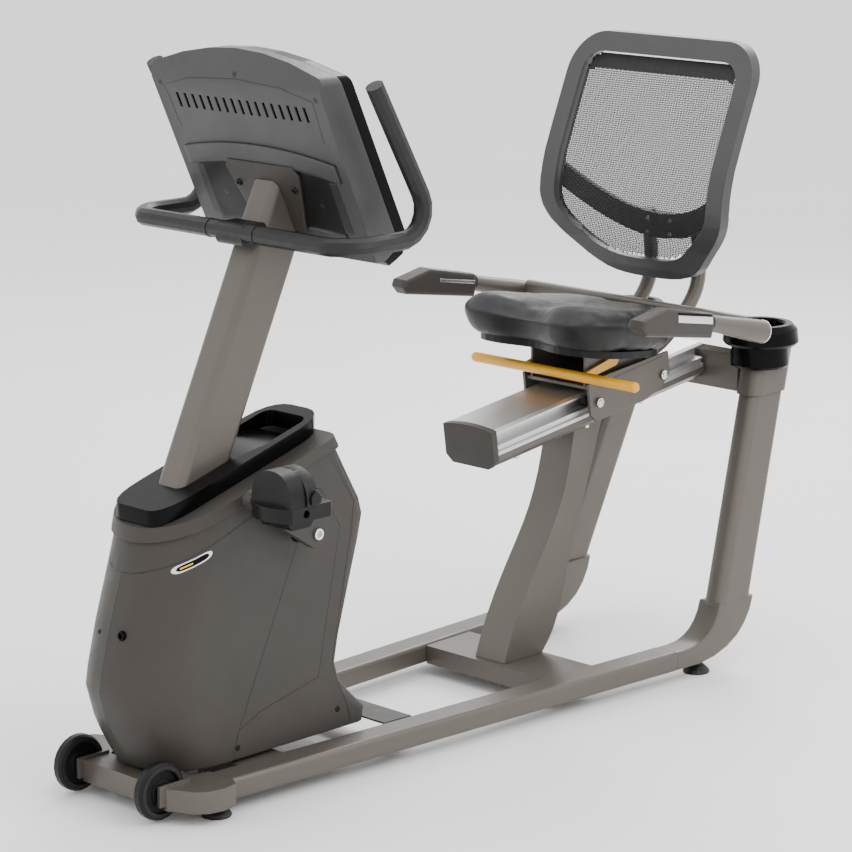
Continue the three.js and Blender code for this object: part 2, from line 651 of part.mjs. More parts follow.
function seatCushion() {
  const bevel = 18;
  const body = new THREE.ExtrudeGeometry(tidy(seatOutline(0), 6), {
    depth: CUSHION.thick - 2 * bevel, bevelEnabled: true, bevelThickness: bevel, bevelSize: bevel,
    bevelOffset: -bevel, bevelSegments: 3,
  });
  return tilted(body.translate(0, 0, CUSHION.z + bevel + GAP));
}

function seatPan() {
  const body = slabZ(seatOutline(34), CUSHION.z - PAN.thick, CUSHION.z, 6);
  return tilted(cut(body, block(PAN.rear, PAN.rear + 200, -300, 300, 600, 800)));
}

// ---------------------------------------------------------------- seat back
const BACK_PROFILE = [
  [780, 770], [820, 748], [850, 726], [900, 703], [955, 695], [1020, 708], [1100, 740], [1205, 784],
      [1290, 820],
];

function backOutline(inset) {
  const [w, top, low] = [BACK.half - inset, BACK.top - inset, BACK.bottom + inset];
  const r = BACK.topRound - inset;
  const side = BACK.bottom + BACK.lowRound;
  const shape = new THREE.Shape();
  shape.moveTo(0, low);
  shape.bezierCurveTo(w * 0.34, low, w * 0.5, low + 4, w * 0.7, low + (side - low) * 0.32);
  shape.bezierCurveTo(w * 0.9, low + (side - low) * 0.58, w, side - (side - low) * 0.3, w, side);
  shape.lineTo(w, top - r);
  shape.absarc(w - r, top - r, r, 0, Math.PI / 2);
  shape.lineTo(-w + r, top);
  shape.absarc(-w + r, top - r, r, Math.PI / 2, Math.PI);
  shape.lineTo(-w, side);
  shape.bezierCurveTo(
    -w, side - (side - low) * 0.3, -w * 0.9, low + (side - low) * 0.58, -w * 0.7, low + (side - low) * 0.32,
  );
  shape.bezierCurveTo(-w * 0.5, low + 4, -w * 0.34, low, 0, low);
  return shape;
}

// A sheet that follows the curve of the back, as wide as the back.
function backSheet(thick) {
  const heights = Array.from({ length: 19 }, (_,
      i) => BACK.bottom - 10 + (i * (BACK.top - BACK.bottom + 20)) / 18);
  const front = heights.map((z) => [between(BACK_PROFILE, z) - thick / 2, z]);
  const rear = heights.map((z) => [between(BACK_PROFILE, z) + thick / 2, z]).reverse();
  return slabY(polygon([...front, ...rear]), -BACK.half - 10, BACK.half + 10);
}

function backFrame() {
  const ring = cut(slabX(backOutline(0), 640, 880, 7), slabX(backOutline(BACK.rim), 630, 890, 7));
  return common(backSheet(BACK.depth), ring);
}

function backMesh() {
  return common(backSheet(3), slabX(backOutline(BACK.rim + GAP), 640, 880, 7));
}

function lumbarCradle() {
  const { reach, depth, rise, bow, x, z, height } = CRADLE;
  const ys = Array.from({ length: 17 }, (_, i) => -reach + (i * reach) / 8);
  const plan = (y) => x - bow * (y / reach) ** 2;
  const lift = (y) => z + rise * (y / reach) ** 2;
  const sheet = [...ys.map((y) => [plan(y), y]), ...[...ys].reverse().map((y) => [plan(y) + depth, y])];
  const band = [...ys.map((y) => [y, lift(y)]), ...[...ys].reverse().map((y) => [y, lift(y) + height])];
  return common(slabZ(polygon(sheet), z - 50, z + rise + height + 50), slabX(polygon(band), x - bow - 50,
      x + 50));
}

function backBracket() {
  return block(CRADLE.x + CRADLE.depth + GAP, BACK_TUBE.x + 2, -BACK_TUBE.y + BACK_TUBE.radius + 1,
    BACK_TUBE.y - BACK_TUBE.radius - 1, CRADLE.z + 2, CRADLE.z + 46);
}

function backTubes() {
  const parts = SIDES.map(([, sign]) => {
    const y = sign * BACK_TUBE.y;
    const points = [
      [SEAT_BOX.rear + GAP, y, 649], [688, y, 649], [728, y, 666], [775, y, 702], [812, y, 735],
      [832, y, 770], [BACK_TUBE.x, y, 815], [BACK_TUBE.x - 6, y, 870], [BACK_TUBE.x - 12, y, 912],
    ];
    return sweep(circleShape(BACK_TUBE.radius), points, 22, 5);
  });
  const gussets = SIDES.map(([, sign]) => block(704, 721, sign * BACK_TUBE.y - 8, sign * BACK_TUBE.y + 8,
      652, 712));
  const bar = slabY(roundedRect(ARM.barDepth, ARM.barHeight, ARM.barRound, ARM.barX, ARM.barZ),
      -ARM.y + ARM.radius + 2, ARM.y - ARM.radius - 2, 3);
  return join(parts[0], parts[1], ...gussets, bar);
}

function gripArm(sign) {
  const y = sign * ARM.y;
  const [front, rear] = [[560, y, 757], [726, y, 716]];
  const length = Math.hypot(rear[0] - front[0], rear[2] - front[2]);
  const wide = ARM.radius + 3;
  const cone = turned([[0, 0], [17, 0], [17, 30], [wide, length - 26], [wide, length], [0, length]], 24);
  const turn = new THREE.Quaternion().setFromUnitVectors(
    new THREE.Vector3(0, 1, 0),
    new THREE.Vector3(rear[0] - front[0], 0, rear[2] - front[2]).normalize(),
  );
  cone.applyQuaternion(turn).translate(...front);
  const socket = slabY(roundedRect(ARM.barDepth + 2 * GAP, ARM.barHeight + 2 * GAP, ARM.barRound,
      ARM.barX, ARM.barZ), -ARM.y + ARM.radius + 2 - GAP,
    ARM.y - ARM.radius - 2 + GAP, 3);
  return cut(cone, socket);
}

function handGrip(sign) {
  const w = GRIP.width / 2;
  const bevel = 7;
  const outline = polygon([[338, 776], [344, 791], [418, 806], [551, 779], [558, 756], [548, 730], [352,
      760]]);
  const body = new THREE.ExtrudeGeometry(outline, {
    depth: 2 * (w - bevel), bevelEnabled: true, bevelThickness: bevel, bevelSize: bevel, bevelOffset: -bevel,
    bevelSegments: 2,
  });
  return body.rotateX(Math.PI / 2).translate(0, sign * ARM.y + w - bevel, 0);
}

// ---------------------------------------------------------------- mast, console and handlebar
function mastCentre(z) {
  return MAST.frontX + MAST.run / 2 + MAST.lean * (z - MAST.frontZ);
}

function mastColumn(grow, z0, z1, wall = 0) {
  const trim = 2 * (grow - wall);
  const column = slabZ(roundedRect(MAST.run + trim, MAST.width + trim, MAST.round + grow - wall), z0, z1, 4);
  const p = column.attributes.position;
  for (let i = 0; i < p.count; i += 1) p.setX(i, p.getX(i) + mastCentre(p.getZ(i)));
  return column;
}

function consoleBack(z) {
  return CONSOLE.backX - CONSOLE.lean * (z - CONSOLE.backZ);
}

// Everything behind the back face of the console, moved towards the front by an offset.
function behindConsole(offset) {
  return slabY(polygon([
    [consoleBack(800) - offset, 800], [200, 800], [200, 1400], [consoleBack(1400) - offset, 1400],
  ]), -400, 400);
}

function mast() {
  const tube = cut(mastColumn(0, MAST.bottom, 1150), mastColumn(0, MAST.bottom - 4, 1200, MAST.wall));
  return cut(tube, behindConsole(PLATE.thick + 2 * GAP));
}

function consolePlate() {
  const outline = polygon([[-PLATE.low, PLATE.bottom], [PLATE.low, PLATE.bottom], [PLATE.high,
      PLATE.top - 14],
    [PLATE.high - 10, PLATE.top], [-PLATE.high + 10, PLATE.top], [-PLATE.high, PLATE.top - 14]]);
  const sheet = slabY(polygon([
    [consoleBack(900) - GAP - PLATE.thick, 900], [consoleBack(900) - GAP, 900],
    [consoleBack(1200) - GAP, 1200], [consoleBack(1200) - GAP - PLATE.thick, 1200],
  ]), -200, 200);
  return common(sheet, slabX(outline, -450, -100));
}

function consoleFace(inset) {
  const w = CONSOLE.half - inset;
  const corner = 1300 - inset;
  const shape = new THREE.Shape();
  shape.moveTo(-w + 26, 940 + inset);
  shape.lineTo(w - 26, 940 + inset);
  shape.quadraticCurveTo(w - 6, 946, w - 4, 980);
  shape.lineTo(w, corner - 14);
  shape.quadraticCurveTo(w, corner, w - 14, corner + 3);
  shape.quadraticCurveTo(0, corner + 2 * CONSOLE.crown + 6, -w + 14, corner + 3);
  shape.quadraticCurveTo(-w, corner, -w, corner - 14);
  shape.lineTo(-w + 4, 980);
  shape.quadraticCurveTo(-w + 6, 946, -w + 26, 940 + inset);
  return slabX(shape, -500, -100, 6);
}

function consoleRear(z) {
  return CONSOLE.rearX - CONSOLE.rearLean * (z - CONSOLE.rearZ);
}

function consoleShell() {
  const [split, t] = [CONSOLE.split, CONSOLE.shell];
  const outer = polygon([
    [consoleBack(962), 962], [consoleBack(1272), 1272], [consoleBack(1272) + 5, 1345],
    [consoleRear(1345) - split, 1345], [consoleRear(CHIN.top) - split, CHIN.top], [CHIN.x - GAP, 962],
  ]);
  const inner = polygon([
    [consoleBack(962) + t, 962 + t], [consoleBack(1272) + t, 1272], [consoleBack(1272) + 5 + t, 1345],
    [consoleRear(1345) - split + 5, 1345], [consoleRear(CHIN.top) - split + 5, CHIN.top], [CHIN.x, 962 + t],
  ]);
  const shell = common(slabY(outer, -240, 240), consoleFace(0));
  const room = common(slabY(inner, -240, 240), consoleFace(t));
  const vents = Array.from({ length: VENT.count }, (_, i) => {
    const y = (i - (VENT.count - 1) / 2) * VENT.pitch;
    return block(-420, -340, y - VENT.width / 2, y + VENT.width / 2, VENT.top - VENT.height, VENT.top);
  });
  return cut(shell, room, ...vents);
}

function bezelPlate(from, to, z0, z1, half) {
  return slabY(polygon([
    [consoleRear(z0) - from, z0], [consoleRear(z0) - to, z0], [consoleRear(z1) - to, z1],
        [consoleRear(z1) - from, z1],
  ]), -half, half);
}

function consoleBezel() {
  const { split } = CONSOLE;
  const profile = polygon([
    [consoleRear(CHIN.top) - split + GAP, CHIN.top], [consoleRear(1345) - split + GAP, 1345],
        [consoleRear(1345), 1345],
    [consoleRear(CONSOLE.rearZ), CONSOLE.rearZ], [consoleRear(CONSOLE.rearZ) - 6, 972], [CHIN.x + 12,
        952], [CHIN.x, 960],
  ]);
  const body = common(slabY(profile, -240, 240), consoleFace(0));
  const window = bezelPlate(SCREEN.thick + 2 * GAP, -8, SCREEN.low, SCREEN.high, SCREEN.half);
  const room = bezelPlate(split + 5, SCREEN.thick + 5, SCREEN.low + 20, SCREEN.high - 20, SCREEN.half - 20);
  const wells = BUTTONS.map((y) => buttonRod(y, BUTTON.radius + RUNNING_GAP, BUTTON.depth, -8));
  return cut(body, window, room, ...wells);
}

function consoleScreen() {
  return bezelPlate(SCREEN.thick + GAP, 1, SCREEN.low + GAP, SCREEN.high - GAP, SCREEN.half - GAP);
}

const REAR_NORMAL = new THREE.Vector2(1, CONSOLE.rearLean).normalize();

// A rod square to the rider's face of the console, from a depth below it to a height above it.
function buttonRod(y, radius, depth, height) {
  const at = (d) => [consoleRear(BUTTON.z) - d * REAR_NORMAL.x, y, BUTTON.z - d * REAR_NORMAL.y];
  return rod(at(depth), at(height), radius, 16);
}

function handlebar() {
  const { frontX, z, y, bend, corner, endX, endZ, radius } = BAR;
  const rise = new THREE.Vector2(endX - BAR.turnX, endZ - z).normalize();
  const sweepAngle = Math.atan2(rise.y, rise.x);
  const tangent = bend * Math.tan(sweepAngle / 2);
  const flat = arcPoints([frontX + corner, y - corner, z], corner, [0, 1, 0], [-1, 0, 0], Math.PI / 2, 0, 6);
  const up = arcPoints([BAR.turnX - tangent, y, z + bend], bend, [0, 0, -1], [1, 0, 0], 0, sweepAngle, 8);
  const side = [...flat, [(frontX + corner + BAR.turnX - tangent) / 2, y, z], ...up,
    [(BAR.turnX + tangent * rise.x + endX) / 2, y, (z + tangent * rise.y + endZ) / 2], [endX, y, endZ]];
  const far = side.map((p) => p.slice());
  const near = side.map(([a, b, c]) => [a, -b, c]).reverse();
  const tube = sweep(circleShape(radius), [...near, [frontX, 0, z], ...far], 72, 5);
  const clamp = slabY(roundedRect(62, 40, 12, frontX + 16, z - 4), -34, 34, 4);
  return cut(join(tube, clamp), mastColumn(GAP, 900, 1150));
}

// ---------------------------------------------------------------- drive housing
const NOSE = [
  [70, -660], [110, -686], [160, -709], [220, -726], [280, -716], [332, -700], [427, -670], [500, -648],
      [700, -598],
];
const TAIL = [
  [70, -172], [95, -168], [125, -200], [160, -232], [195, -243], [250, -232], [340, -206], [440, -176],
  [478, -168], [500, -178], [560, -212], [600, -234], [640, -255], [700, -285],
];
const HOUSING_LEVELS = [70, 95, 125, 160, 195, 220, 250, 332, 427, 470, 500, 560, 600, 640, 700];

// One closed ring of the housing in plan: a half-ellipse nose and two rounded rear corners.
function housingRing(z, grow) {
  const w = HOUSING.half + grow;
  const nose = between(NOSE, z) - grow;
  const tail = between(TAIL, z) + grow;
  const round = 26;
  const ring = [];
  for (let i = 0; i <= 16; i += 1) {
    const t = Math.PI / 2 + (i * Math.PI) / 16;
    const c = Math.cos(t);
    const flat = Math.sign(c) * Math.abs(c) ** 0.86;
    ring.push([nose + HOUSING.noseLength + HOUSING.noseLength * flat, w * Math.sin(t), z]);
  }
  for (let i = 0; i <= 3; i += 1) {
    const t = -Math.PI / 2 + (i * Math.PI) / 6;
    ring.push([tail - round + round * Math.cos(t), -w + round + round * Math.sin(t), z]);
  }
  for (let i = 0; i <= 3; i += 1) {
    const t = (i * Math.PI) / 6;
    ring.push([tail - round + round * Math.cos(t), w - round + round * Math.sin(t), z]);
  }
  return ring;
}

function loft(rings) {
  const n = rings[0].length;
  const positions = rings.flat(2);
  const index = [];
  for (let r = 0; r + 1 < rings.length; r += 1) {
    for (let i = 0; i < n; i += 1) {
      const j = (i + 1) % n;
      const [a, b] = [r * n + i, r * n + j];
      index.push(a, b, b + n, a, b + n, a + n);
    }
  }
  for (let i = 1; i + 1 < n; i += 1) {
    index.push(0, i + 1, i);
    const top = (rings.length - 1) * n;
    index.push(top, top + i, top + i + 1);
  }
  const geometry = new THREE.BufferGeometry();
  geometry.setAttribute('position', new THREE.Float32BufferAttribute(positions, 3));
  geometry.setIndex(index);
  return geometry;
}

function housingBlank(grow, low = 0) {
  return loft(HOUSING_LEVELS.map((z, i) => housingRing(z, grow).map(([x, y, h]) => [x, y, i ? h : h - low])));
}

function deckZ(x) {
  return HOUSING.deckZ + HOUSING.deckSlope * (x - HOUSING.deckX);
}

// The space between two planes that run parallel to the sloping deck.
function deckSlab(below, above, x0 = -900, x1 = 0) {
  return slabY(polygon([
    [x0, deckZ(x0) + below], [x1, deckZ(x1) + below], [x1, deckZ(x1) + above], [x0, deckZ(x0) + above],
  ]), -300, 300);
}

function housingShell() {
  const hollow = cut(housingBlank(0), housingBlank(-HOUSING.wall, 5));
  return cut(hollow, deckSlab(-RIM.height - GAP, 600));
}

const COVER_EDGE = [
  [-900, 40], [-900, 428], [-676, 428], [-650, 442], [-462, 516], [-304, 541], [-288, 536],
  [-242, 458], [-299, 180], [-440, 148], [-497, 122], [-516, 40],
];

const REAR_EDGE = [
  [-262, 760], [-262, 606], [-205, 500], [-213, 440], [-264, 195], [-226, 112], [-214, 40], [-60, 40],
      [-60, 760],
];

// The same outline with every edge drawn in by the gap that parts two panels.
function drawnIn(points, amount) {
  const area = points.reduce((sum, [x, z], i) => {
    const [u, v] = points[(i + 1) % points.length];
    return sum + x * v - u * z;
  }, 0);
  const turn = Math.sign(area);
  return points.map((p, i) => {
    const at = new THREE.Vector2(...p);
    const before = at.clone().sub(new THREE.Vector2(...points[(i + points.length - 1) % points.length])).normalize();
    const after = new THREE.Vector2(...points[(i + 1) % points.length]).sub(at).normalize();
    const inward = new THREE.Vector2(-before.y - after.y, before.x + after.x).multiplyScalar(turn);
    const shift = (2 * amount) / inward.lengthSq();
    return [at.x + inward.x * shift, at.y + inward.y * shift];
  });
}

function crankHole() {
  return rod([CRANK.x, -200, CRANK.z], [CRANK.x, 200, CRANK.z], 24, 28);
}

function inletHole() {
  return rod([-760, INLET.y, INLET.z], [-640, INLET.y, INLET.z], INLET.radius + RUNNING_GAP, 16);
}

function sideCover(sign) {
  const half = sign > 0 ? block(-900, 0, GAP / 2, 300, 0, 900) : block(-900, 0, -300, -GAP / 2, 0, 900);
  const region = common(slabY(polygon(drawnIn(COVER_EDGE, GAP)), -300, 300), half);
  return cut(common(housingShell(), region), crankHole(), inletHole());
}

function housingBody() {
  return cut(housingShell(), slabY(polygon(COVER_EDGE), -300, 300), slabY(polygon(REAR_EDGE), -300, 300));
}

function rearCover() {
  return common(housingShell(), slabY(polygon(drawnIn(REAR_EDGE, GAP)), -300, 300));
}

function trayOutline(inset) {
  const w = TRAY.half - inset;
  const [front, rear] = [TRAY.front + inset, TRAY.rear - inset];
  const shape = new THREE.Shape();
  shape.moveTo(front, -w * 0.5);
  shape.bezierCurveTo(front, -w * 0.85, front + 34, -w, front + 80, -w);
  shape.lineTo(rear - 70, -w);
  shape.bezierCurveTo(rear - 24, -w, rear, -w * 0.7, rear, -w * 0.3);
  shape.lineTo(rear, w * 0.3);
  shape.bezierCurveTo(rear, w * 0.7, rear - 24, w, rear - 70, w);
  shape.lineTo(front + 80, w);
  shape.bezierCurveTo(front + 34, w, front, w * 0.85, front, w * 0.5);
  return shape;
}

function topRim() {
  const outer = common(housingBlank(RIM.lip), deckSlab(-RIM.height, 0));
  return cut(outer, slabZ(trayOutline(14), 300, 900, 5));
}

function accessoryTray() {
  const body = common(slabZ(trayOutline(0), 300, 900, 5), deckSlab(GAP, TRAY.thick));
  const dish = slabZ(roundedRect(TRAY.dishLength, 2 * TRAY.half - 36, 22, TRAY.dishX, 0),
      deckZ(TRAY.dishX) + 14, 900, 5);
  return cut(body, mastColumn(GAP + 0.2, 300, 900), dish);
}

// ---------------------------------------------------------------- drive train
function driveFrame() {
  const [x0, x1] = DRIVE.tube;
  const reach = railInner(x0) - 0.6;
  const tube = slabZ(polygon([[x0, -reach], [x1, -railInner(x1) + 0.6], [x1, railInner(x1) - 0.6], [x0,
      reach]]),
    RAIL.bottom, CROSS.top);
  const tubeBore = block(x0 + DRIVE.wall, x1 - DRIVE.wall, -reach - 20, reach + 20,
    RAIL.bottom + DRIVE.wall, CROSS.top - DRIVE.wall);
  const [y0, y1] = DRIVE.plate;
  const plate = slabY(polygon([
    [x0, 50], [x1, 50], [x1, 120], [CRANK.x + 30, CRANK.z - 40], [CRANK.x + 30, CRANK.z + 26],
    [CRANK.x - 20, CRANK.z + 34], [mastCentre(MAST.bottom) + 44, MAST.bottom - 16],
    [mastCentre(MAST.bottom) - 48, MAST.bottom - 16],
    [FLYWHEEL.x - 22, 250], [FLYWHEEL.x - 22, 215], [x0, 90],
  ]), y0, y1);
  const c = mastCentre(MAST.bottom);
  const seat = block(c - MAST.run / 2 + 2, c + MAST.run / 2 - 2, -MAST.width / 2 + 1, MAST.width / 2 - 1,
    MAST.bottom - 20, MAST.bottom - GAP);
  const shell = rod([CRANK.x, -SHELL_HALF, CRANK.z], [CRANK.x, PULLEY.y - PULLEY.width / 2 - 2, CRANK.z],
      22, 24);
  const hub = rod([FLYWHEEL.x, y0 - 1, FLYWHEEL.z], [FLYWHEEL.x, y1 + 1, FLYWHEEL.z], 20, 24);
  const bores = [
    rod([CRANK.x, -80, CRANK.z], [CRANK.x, 80, CRANK.z], CRANK.axle + RUNNING_GAP, 24),
    rod([FLYWHEEL.x, -80, FLYWHEEL.z], [FLYWHEEL.x, 80, FLYWHEEL.z], FLYWHEEL.shaft + RUNNING_GAP, 24),
  ];
  return cut(join(cut(tube, tubeBore), plate, seat, shell, hub), ...bores);
}

function crankAxle() {
  const axle = rod([CRANK.x, -CRANK.inner, CRANK.z], [CRANK.x, CRANK.inner, CRANK.z], CRANK.axle, 24);
  const w = PULLEY.width / 2;
  const pulley = turned([[0, -w], [PULLEY.radius, -w], [PULLEY.radius, w], [PULLEY.radius - 14, w],
    [PULLEY.radius - 16, -w + 6], [30, -w + 6], [28, w], [0, w]], 32);
  return join(axle, pulley.translate(CRANK.x, PULLEY.y, CRANK.z));
}

function flywheel() {
  const w = FLYWHEEL.width / 2;
  const r = FLYWHEEL.radius;
  const disc = turned([[0, -w + 14], [r - 30, -w + 14], [r - 26, -w], [r, -w], [r, w], [r - 26, w],
      [r - 30, w - 14],
    [0, w - 14]], 28).translate(FLYWHEEL.x, FLYWHEEL.y, FLYWHEEL.z);
  const p = PULLEY.width / 2;
  const pulleyFrom = [FLYWHEEL.x, PULLEY.y - p, FLYWHEEL.z];
  const pulley = rod(pulleyFrom, [FLYWHEEL.x, PULLEY.y + p, FLYWHEEL.z], FLYWHEEL.pulley, 28);
  const shaftFrom = [FLYWHEEL.x, FLYWHEEL.y - w + 6, FLYWHEEL.z];
  const shaft = rod(shaftFrom, [FLYWHEEL.x, PULLEY.y + p + 4, FLYWHEEL.z], FLYWHEEL.shaft, 24);
  return join(disc, pulley, shaft);
}

// The outline of a belt round both pulleys, at a distance from their faces.
function beltOutline(offset) {
  const r1 = PULLEY.radius + offset;
  const r2 = FLYWHEEL.pulley + offset;
  const across = [FLYWHEEL.x - CRANK.x, FLYWHEEL.z - CRANK.z];
  const heading = Math.atan2(across[1], across[0]);
  const wrap = Math.acos((r1 - r2) / Math.hypot(...across));
  const shape = new THREE.Shape();
  shape.absarc(CRANK.x, CRANK.z, r1, heading + wrap, heading - wrap + 2 * Math.PI);
  shape.absarc(FLYWHEEL.x, FLYWHEEL.z, r2, heading - wrap, heading + wrap);
  return shape;
}

function driveBelt() {
  const w = PULLEY.width / 2 - 2;
  const outer = slabY(beltOutline(GAP + BELT_THICK), PULLEY.y - w, PULLEY.y + w, 12);
  return cut(outer, slabY(beltOutline(GAP), PULLEY.y - w - 5, PULLEY.y + w + 5, 12));
}

function crankEnd(sign) {
  const angle = THREE.MathUtils.degToRad(CRANK.angle) + (sign > 0 ? Math.PI : 0);
  return [CRANK.x + CRANK.length * Math.cos(angle), CRANK.z + CRANK.length * Math.sin(angle)];
}

function crankArm(sign) {
  const [ex, ez] = crankEnd(sign);
  const heading = Math.atan2(ez - CRANK.z, ex - CRANK.x);
  const outline = new THREE.Shape();
  outline.absarc(CRANK.x, CRANK.z, 27, heading + Math.PI / 2 + 0.2, heading + 1.5 * Math.PI - 0.2);
  outline.absarc(ex, ez, 17, heading - Math.PI / 2, heading + Math.PI / 2);
  const [y0, y1] = [CRANK.inner + GAP, CRANK.inner + GAP + CRANK.thick].map((y) => sign * y).sort((a,
      b) => a - b);
  const arm = slabY(outline, y0, y1, 10);
  const tip = sign * (PEDAL.y + PEDAL.width / 2 - 12);
  const spindle = rod([ex, sign * (CRANK.inner + 4), ez], [ex, tip, ez], PEDAL.spindle, 16);
  const capEnd = sign * (CRANK.inner + CRANK.thick + 3);
  const cap = rod([CRANK.x, sign * (CRANK.inner + 4), CRANK.z], [CRANK.x, capEnd, CRANK.z], 12, 20);
  return join(arm, spindle, cap);
}

function pedal(sign) {
  const [x, z] = crankEnd(sign);
  const [l, w, h] = [PEDAL.length / 2, PEDAL.width / 2, PEDAL.thick / 2];
  const inner = sign * PEDAL.y;
  const plan = new THREE.Shape();
  plan.moveTo(l, -w + 8);
  plan.quadraticCurveTo(l, -w, l - 8, -w);
  plan.lineTo(-l + 30, -w);
  plan.quadraticCurveTo(-l - 6, 0, -l + 30, w);
  plan.lineTo(l - 8, w);
  plan.quadraticCurveTo(l, w, l, w - 8);
  const platform = slabZ(plan, -h, h, 8).translate(x, inner, z);
  const dome = (r, tall) => {
    const shape = new THREE.Shape();
    shape.moveTo(inner - r, z + h - 2);
    shape.lineTo(inner + r, z + h - 2);
    shape.bezierCurveTo(inner + r, z + h + tall * 0.75, inner + r * 0.6, z + h + tall, inner, z + h + tall);
    shape.bezierCurveTo(inner - r * 0.6, z + h + tall, inner - r, z + h + tall * 0.75, inner - r, z + h - 2);
    return shape;
  };
  const hood = cut(slabX(dome(w - 1, 62), x - l + 28, x + 12, 8), slabX(dome(w - 5, 58), x - l + 33,
      x + 20, 8));
  const keel = slabY(polygon([[x - 34, z - h + 1], [x + 34, z - h + 1], [x + 22, z - h - 16], [x - 22,
      z - h - 16]]),
    inner - w + 14, inner + w - 14);
  const bore = rod([x, inner - w - 5, z], [x, inner + w + 5, z], PEDAL.spindle + RUNNING_GAP, 16);
  return cut(join(platform, hood, keel), bore);
}

function powerInlet() {
  const body = rod([INLET.x, INLET.y, INLET.z], [INLET.x + 48, INLET.y, INLET.z], INLET.radius, 20);
  const nut = rod([INLET.x + 38, INLET.y, INLET.z], [INLET.x + 44, INLET.y, INLET.z], INLET.radius + 4, 6);
  const socket = rod([INLET.x - 2, INLET.y, INLET.z], [INLET.x + 14, INLET.y, INLET.z],
      INLET.radius - 2.5, 16);
  return cut(join(body, nut), socket);
}

// ---------------------------------------------------------------- assembly
for (const [side, sign] of SIDES) {
  place(`base_rail_${side}`, baseRail(sign), 'frame_paint');
  place(`rear_leg_${side}`, rearLeg(sign), 'frame_paint');
  place(`transport_wheel_${side}`, transportWheel(sign), 'rubber');
  place(`front_foot_${side}`, levellingFoot(FOOT.frontX, sign * FOOT.frontY), 'rubber');
  place(`rear_foot_${side}`, levellingFoot(FOOT.rearX, sign * FOOT.rearY), 'rubber');
  place(`cup_holder_${side}`, cupHolder(sign), 'black_plastic');
  place(`front_roller_${side}`, railRoller(ROLLER.front, sign), 'rubber');
  place(`rear_roller_${side}`, railRoller(ROLLER.rear, sign), 'rubber');
  place(`grip_arm_${side}`, gripArm(sign), 'frame_paint');
  place(`hand_grip_${side}`, handGrip(sign), 'housing_plastic');
  place(`side_cover_${side}`, sideCover(sign), 'housing_plastic');
  place(`crank_arm_${side}`, crankArm(sign), 'housing_plastic');
  place(`pedal_${side}`, pedal(sign), 'black_plastic');
}
place('front_beam', frontBeam(), 'frame_paint');
place('cross_member', crossMember(), 'frame_paint');
place('base_cover_plate', coverPlate(), 'housing_plastic');
place('rear_yoke', rearYoke(), 'frame_paint');
place('seat_rail', railExtrusion(), 'aluminium');
place('rail_beam', railBeam(), 'frame_paint');
place('rail_end_cap', railEndCap(), 'housing_plastic');
place('seat_post', seatPost(), 'frame_paint');
place('seat_carriage', seatCarriage(), 'frame_paint');
place('seat_lever', seatLever(), 'lever_coat');
place('seat_pan', seatPan(), 'black_plastic');
place('seat_cushion', seatCushion(), 'vinyl');
place('back_tubes', backTubes(), 'frame_paint');
place('back_bracket', backBracket(), 'steel');
place('lumbar_cradle', lumbarCradle(), 'black_plastic');
place('back_frame', backFrame(), 'console_plastic');
place('back_mesh', backMesh(), 'mesh_fabric');
place('mast', mast(), 'frame_paint');
place('console_plate', consolePlate(), 'frame_paint');
place('console_shell', consoleShell(), 'console_plastic');
place('console_bezel', consoleBezel(), 'black_plastic');
place('console_screen', consoleScreen(), 'screen_glass');
BUTTONS.forEach((y, i) => {
  const key = buttonRod(y, BUTTON.radius, BUTTON.depth - BUTTON.travel, -2.5);
  place(`console_button_${i + 1}`, key, 'rubber');
});
place('handlebar', handlebar(), 'rubber');
place('housing_body', housingBody(), 'housing_plastic');
place('rear_cover', rearCover(), 'housing_plastic');
place('top_rim', topRim(), 'housing_plastic');
place('accessory_tray', accessoryTray(), 'black_plastic');
place('drive_frame', driveFrame(), 'frame_paint');
place('crank_axle', crankAxle(), 'steel');
place('flywheel', flywheel(), 'steel');
place('drive_belt', driveBelt(), 'rubber');
place('power_inlet', powerInlet(), 'black_plastic');

// The origin is the middle of the footprint, on the floor.
bike.updateMatrixWorld(true);
const reach = new THREE.Box3().setFromObject(bike);
bike.position.set(-(reach.min.x + reach.max.x) / 2, 0, -reach.min.z);

export default bike;
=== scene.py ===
"""Recumbent exercise bike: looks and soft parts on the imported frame.

Metres, with +X to the rear and -Y to the rider's left.
"""
import json
import math

import bmesh
import bpy
from mathutils import Matrix, Vector
from mathutils.bvhtree import BVHTree


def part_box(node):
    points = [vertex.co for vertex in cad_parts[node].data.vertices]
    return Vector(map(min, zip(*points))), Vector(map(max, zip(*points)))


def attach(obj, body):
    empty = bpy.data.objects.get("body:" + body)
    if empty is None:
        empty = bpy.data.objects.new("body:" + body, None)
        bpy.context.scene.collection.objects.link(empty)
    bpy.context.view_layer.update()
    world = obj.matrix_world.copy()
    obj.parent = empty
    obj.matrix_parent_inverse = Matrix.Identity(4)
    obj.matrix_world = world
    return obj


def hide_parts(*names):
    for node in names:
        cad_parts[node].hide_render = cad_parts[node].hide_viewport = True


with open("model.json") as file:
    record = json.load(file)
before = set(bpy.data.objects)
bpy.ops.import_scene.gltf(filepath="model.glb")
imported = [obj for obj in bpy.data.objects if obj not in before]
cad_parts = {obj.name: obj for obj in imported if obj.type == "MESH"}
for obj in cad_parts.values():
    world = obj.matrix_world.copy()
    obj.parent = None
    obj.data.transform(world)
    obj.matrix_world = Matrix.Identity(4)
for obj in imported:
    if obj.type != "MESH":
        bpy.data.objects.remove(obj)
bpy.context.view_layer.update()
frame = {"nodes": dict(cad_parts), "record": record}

MM = 0.001
SIDES = (("left", -1), ("right", 1))
UP, DOWN = Vector((0, 0, 1)), Vector((0, 0, -1))
ALONG, ACROSS = Vector((1, 0, 0)), Vector((0, 1, 0))

